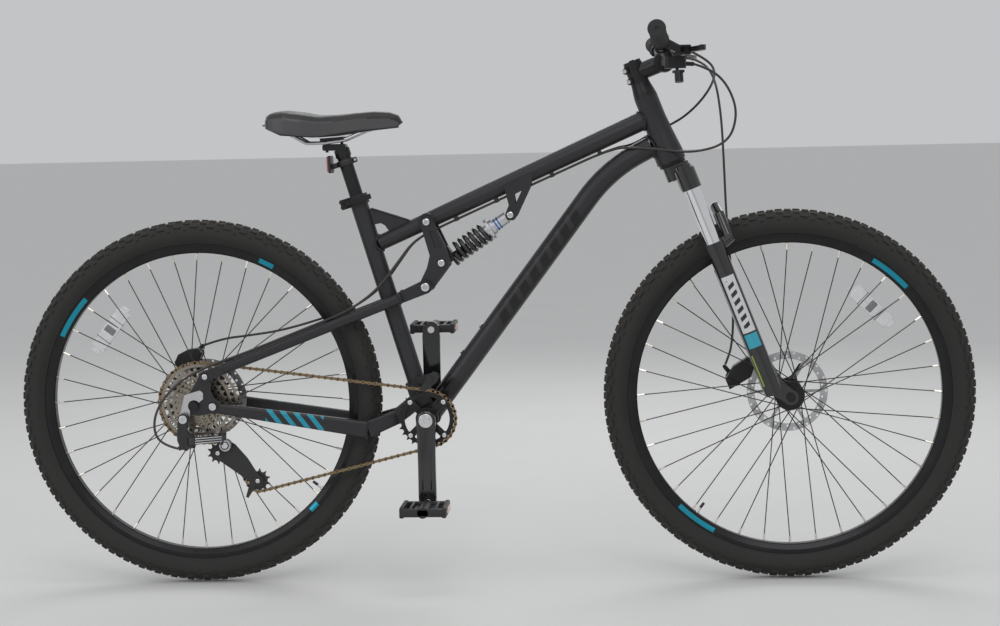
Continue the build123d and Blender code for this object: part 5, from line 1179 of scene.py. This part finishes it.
# from the tail to the nose: half width, top and lower edge at each X
widthLine = [(-0.4375, 0.030), (-0.430, 0.056), (-0.414, 0.068), (-0.392, 0.0725),
             (-0.360, 0.068), (-0.330, 0.0515), (-0.300, 0.0350), (-0.260, 0.0255),
             (-0.215, 0.0200), (-0.182, 0.0170), (-0.171, 0.0125), (-0.1665, 0.001)]
heightLine = [(-0.4375, 0.9175), (-0.430, 0.936), (-0.414, 0.9405), (-0.392, 0.9425),
              (-0.360, 0.9385), (-0.327, 0.932), (-0.290, 0.9325), (-0.260, 0.935),
              (-0.221, 0.9375), (-0.190, 0.9350), (-0.174, 0.9290), (-0.1665, 0.9145)]
skirtLine = [(-0.4375, 0.9165), (-0.425, 0.903), (-0.400, 0.8955), (-0.360, 0.8905), (-0.331, 0.8885),
             (-0.300, 0.8925), (-0.260, 0.8985), (-0.215, 0.9020), (-0.180, 0.9045), (-0.1665, 0.9135)]


def lineValue(line, x):
    for (firstX, firstValue), (lastX, lastValue) in zip(line, line[1:]):
        if x <= lastX:
            share = max(0.0, (x - firstX) / (lastX - firstX))
            return firstValue + (lastValue - firstValue) * share
    return line[-1][1]


bm = bmesh.new()
bmesh.ops.create_grid(bm, x_segments=72, y_segments=48, size=0.5)
for vert in bm.verts:
    share = vert.co.x + 0.5
    share = 0.5 - 0.5 * cos(pi * share)
    around = vert.co.y * 2
    x = saddle["rear"] + (saddle["nose"] - saddle["rear"]) * share
    wide = lineValue(widthLine, x)
    top = lineValue(heightLine, x)
    low = lineValue(skirtLine, x)
    # across the top, over a rounded shoulder and down the skirt
    angle = abs(around)
    side = 1 if around >= 0 else -1
    flat = min(angle / 0.55, 1.0)
    drop = max(0.0, (angle - 0.55) / 0.45)
    shoulder = sin(flat * pi / 2)
    y = wide * (0.90 * shoulder + 0.10 * min(1.0, drop * 3))
    crown = 0.0085 * (1 - cos(flat * pi / 2)) * min(1.0, wide / 0.045)
    z = top - crown - (top - crown - low) * (drop ** 1.35)
    fade = max(0.0, min(1.0, (share - 0.12) * 6, (0.86 - share) * 6))
    groove = 0.0022 * max(0.0, 1 - (y / 0.007) ** 2) * fade
    panel = 0.0010 * max(0.0, 1 - abs(angle - 0.60) / 0.03)
    vert.co = Vector((x, side * (y - panel), z - groove))
for face in bm.faces:
    middle = face.calc_center_median()
    top = lineValue(heightLine, middle.x)
    if middle.x < -0.425:
        face.material_index = 2
    elif middle.z < top - 0.0135:
        face.material_index = 1
bmesh.ops.smooth_vert(bm, verts=bm.verts, factor=0.35, use_axis_x=True, use_axis_y=True, use_axis_z=True)
bmesh.ops.recalc_face_normals(bm, faces=bm.faces)
if sum(face.normal.z * face.calc_area() for face in bm.faces) < 0:
    bmesh.ops.reverse_faces(bm, faces=bm.faces)
saddlePiece = newPiece("saddleCover", bm, "seat", ["saddleSkin", "saddlePanel", "glossBlack"],
                       ["saddle_cover"], sharp=60)
shell = saddlePiece.modifiers.new("shell", "SOLIDIFY")
shell.thickness = 0.0030
shell.offset = -1
smooth = saddlePiece.modifiers.new("smooth", "SUBSURF")
smooth.levels = 1
smooth.render_levels = 1
print("saddle done")

# Derailleur: ribbed parallelogram, drum at the cage pivot and pulley bolts
linkStart = Vector((-0.590, -0.086, 0.298))
linkEnd = Vector((-0.535, -0.054, 0.298))
bm = bmesh.new()
linkWay = linkEnd - linkStart
linkTurn = turned(linkWay, up)
linkSide = linkWay.cross(up).normalized()
if linkSide.y > 0:
    linkSide.negate()
for pin in (linkStart, linkEnd):
    addCylinder(bm, pin - up * 0.0070, pin + up * 0.0070, 0.0078, segments=28)
    for rise in (-1, 1):
        addCylinder(bm, pin + up * rise * 0.0066, pin + up * rise * 0.0074, 0.0040, segments=20, paint=1)
middle = (linkStart + linkEnd) / 2
addBlock(bm, middle, (0.0142, 0.0130, linkWay.length), linkTurn, 0.0022, 3)
for rise in (-0.0046, 0.0, 0.0046):
    addBlock(bm, middle + linkSide * 0.0069 + up * rise, (0.0022, 0.0022, linkWay.length - 0.008), linkTurn,
             0.0006, paint=1)
newPiece("derailleurParallelogram", bm, "mech_link", ["glossBlack", "silverAlloy"],
         ["derailleur_link"], merge=0)

bm = bmesh.new()
cagePivot = Vector((-0.530, 0, 0.284))
for index in range(4):
    addSpun(bm, [(0.0085, 0), (0.0122 - 0.0006 * index, 0), (0.0122 - 0.0006 * index, 0.0011),
                 (0.0085, 0.0011)],
            cagePivot + left * (-0.0535 - 0.0021 * index), left * -1, Vector((1, 0, 0)), 40)
hexHead(bm, cagePivot - left * 0.0600, left * -1, 0.0062, 0.0016, 1)
newPiece("derailleurDrum", bm, "mech_body", ["silverAlloy", "brightBolt"], merge=0)

bm = bmesh.new()
for pulley in (upperPulley, lowerPulley):
    hexHead(bm, Vector((pulley.x, -0.0460, pulley.z)), left * -1, 0.0042, 0.0016)
newPiece("pulleyBolts", bm, "mech_cage", "brightBolt", merge=0)

bm = bmesh.new()
hexHead(bm, Vector((-0.6049, -0.0925, 0.3414)), left * -1, 0.0082, 0.0022)
newPiece("hangerBolt", bm, "mech_knuckle", "brightBolt", merge=0)

# Reflector behind the saddle, on its clamp band
bm = bmesh.new()
clampMiddle = seatPoint(-0.084)
addSpun(bm, [(0.01365, -0.0055), (0.0165, -0.0055), (0.0168, -0.004), (0.0168, 0.004), (0.0165, 0.0055),
             (0.01365, 0.0055)],
        clampMiddle, seatDown, left, 40)
addBlock(bm, seatPoint(-0.084, 0.0245), (0.0150, 0.0090, 0.0105), turned(seatDown, seatBack), 0.0015)
addBlock(bm, seatPoint(-0.084, -0.0190), (0.0085, 0.0085, 0.0105), turned(seatDown, seatBack), 0.0012)
addCylinder(bm, seatPoint(-0.084, -0.0200, -0.0070), seatPoint(-0.084, -0.0200, 0.0070), 0.0026,
            segments=12, paint=1)
addBlock(bm, Vector((-0.3112, 0, 0.8344)), (0.0046, 0.0510, 0.0345), Matrix.Rotation(radians(-3), 4, "Y"),
         0.0016, 3)
addBlock(bm, Vector((-0.3142, 0, 0.8344)), (0.0044, 0.0465, 0.0305), Matrix.Rotation(radians(-3), 4, "Y"),
         0.0014, 3, paint=2)
newPiece("seatReflector", bm, "seat", ["blackPlastic", "brightBolt", "redLens"],
         ["rear_reflector"], merge=0)

# Floor, light and camera
stageSet = {"sky": 0.62, "key": 34, "fill": 16, "rim": 26, "top": 12}
floorMaterial = bpy.data.materials.new("paleFloor")
floorMaterial.use_nodes = True
floorTree = floorMaterial.node_tree
floorShader = floorTree.nodes["Principled BSDF"]
floorCoordinates = floorTree.nodes.new("ShaderNodeTexCoord").outputs["Object"]
floorTone = mixColor(floorTree, noiseOutput(floorTree, floorCoordinates, 3.0), (0.70, 0.70, 0.69, 1),
                     (0.74, 0.74, 0.73, 1))
floorTree.links.new(floorTone, floorShader.inputs["Base Color"])
floorShader.inputs["Roughness"].default_value = 0.75
bm = bmesh.new()
bmesh.ops.create_grid(bm, x_segments=2, y_segments=2, size=150)
floorMesh = bpy.data.meshes.new("floor")
bm.to_mesh(floorMesh)
bm.free()
floorMesh.materials.append(floorMaterial)
floor = bpy.data.objects.new("floor", floorMesh)
bpy.context.scene.collection.objects.link(floor)

world = bpy.data.worlds.new("softSky")
bpy.context.scene.world = world
world.use_nodes = True
world.node_tree.nodes["Background"].inputs["Color"].default_value = (0.88, 0.89, 0.91, 1)
world.node_tree.nodes["Background"].inputs["Strength"].default_value = stageSet["sky"]
for name, place, target, size, power in (
    ("keyLight", (0.6, -3.4, 3.2), (0, 0, 0.5), (2.6, 1.8), stageSet["key"]),
    ("fillLight", (-2.8, -2.6, 1.8), (0, 0, 0.5), (2.0, 2.0), stageSet["fill"]),
    ("rimLight", (0.4, 2.8, 2.6), (0, 0, 0.6), (2.8, 1.2), stageSet["rim"]),
    ("topLight", (0.0, -0.4, 3.4), (0, 0, 0.5), (3.0, 1.2), stageSet["top"]),
):
    lightData = bpy.data.lights.new(name, "AREA")
    lightData.shape = "RECTANGLE"
    lightData.size, lightData.size_y = size
    lightData.energy = power
    lightObject = bpy.data.objects.new(name, lightData)
    lightObject.location = place
    lightObject.rotation_euler = (Vector(target) - Vector(place)).to_track_quat("-Z", "Y").to_euler()
    bpy.context.scene.collection.objects.link(lightObject)

view = {"place": (0.292, -4.051, 0.885), "yaw": 3.87, "pitch": -4.94, "roll": -1.23, "lens": 74.05}
yaw, pitch, roll = (radians(view[key]) for key in ("yaw", "pitch", "roll"))
look = Vector((-sin(yaw) * cos(pitch), cos(yaw) * cos(pitch), sin(pitch)))
right = Vector((cos(yaw), sin(yaw), 0))
above = right.cross(look)
rightRolled = right * cos(roll) + above * sin(roll)
aboveRolled = above * cos(roll) - right * sin(roll)
cameraData = bpy.data.cameras.new("camera")
cameraData.lens = view["lens"]
cameraData.sensor_width = 36
cameraData.sensor_fit = "HORIZONTAL"
cameraData.clip_end = 100
camera = bpy.data.objects.new("camera", cameraData)
camera.matrix_world = Matrix.Translation(view["place"]) @ Matrix((rightRolled, aboveRolled,
    -look)).transposed().to_4x4()
bpy.context.scene.collection.objects.link(camera)
bpy.context.scene.camera = camera
bpy.context.scene.view_settings.view_transform = "Standard"
print("stage ready")
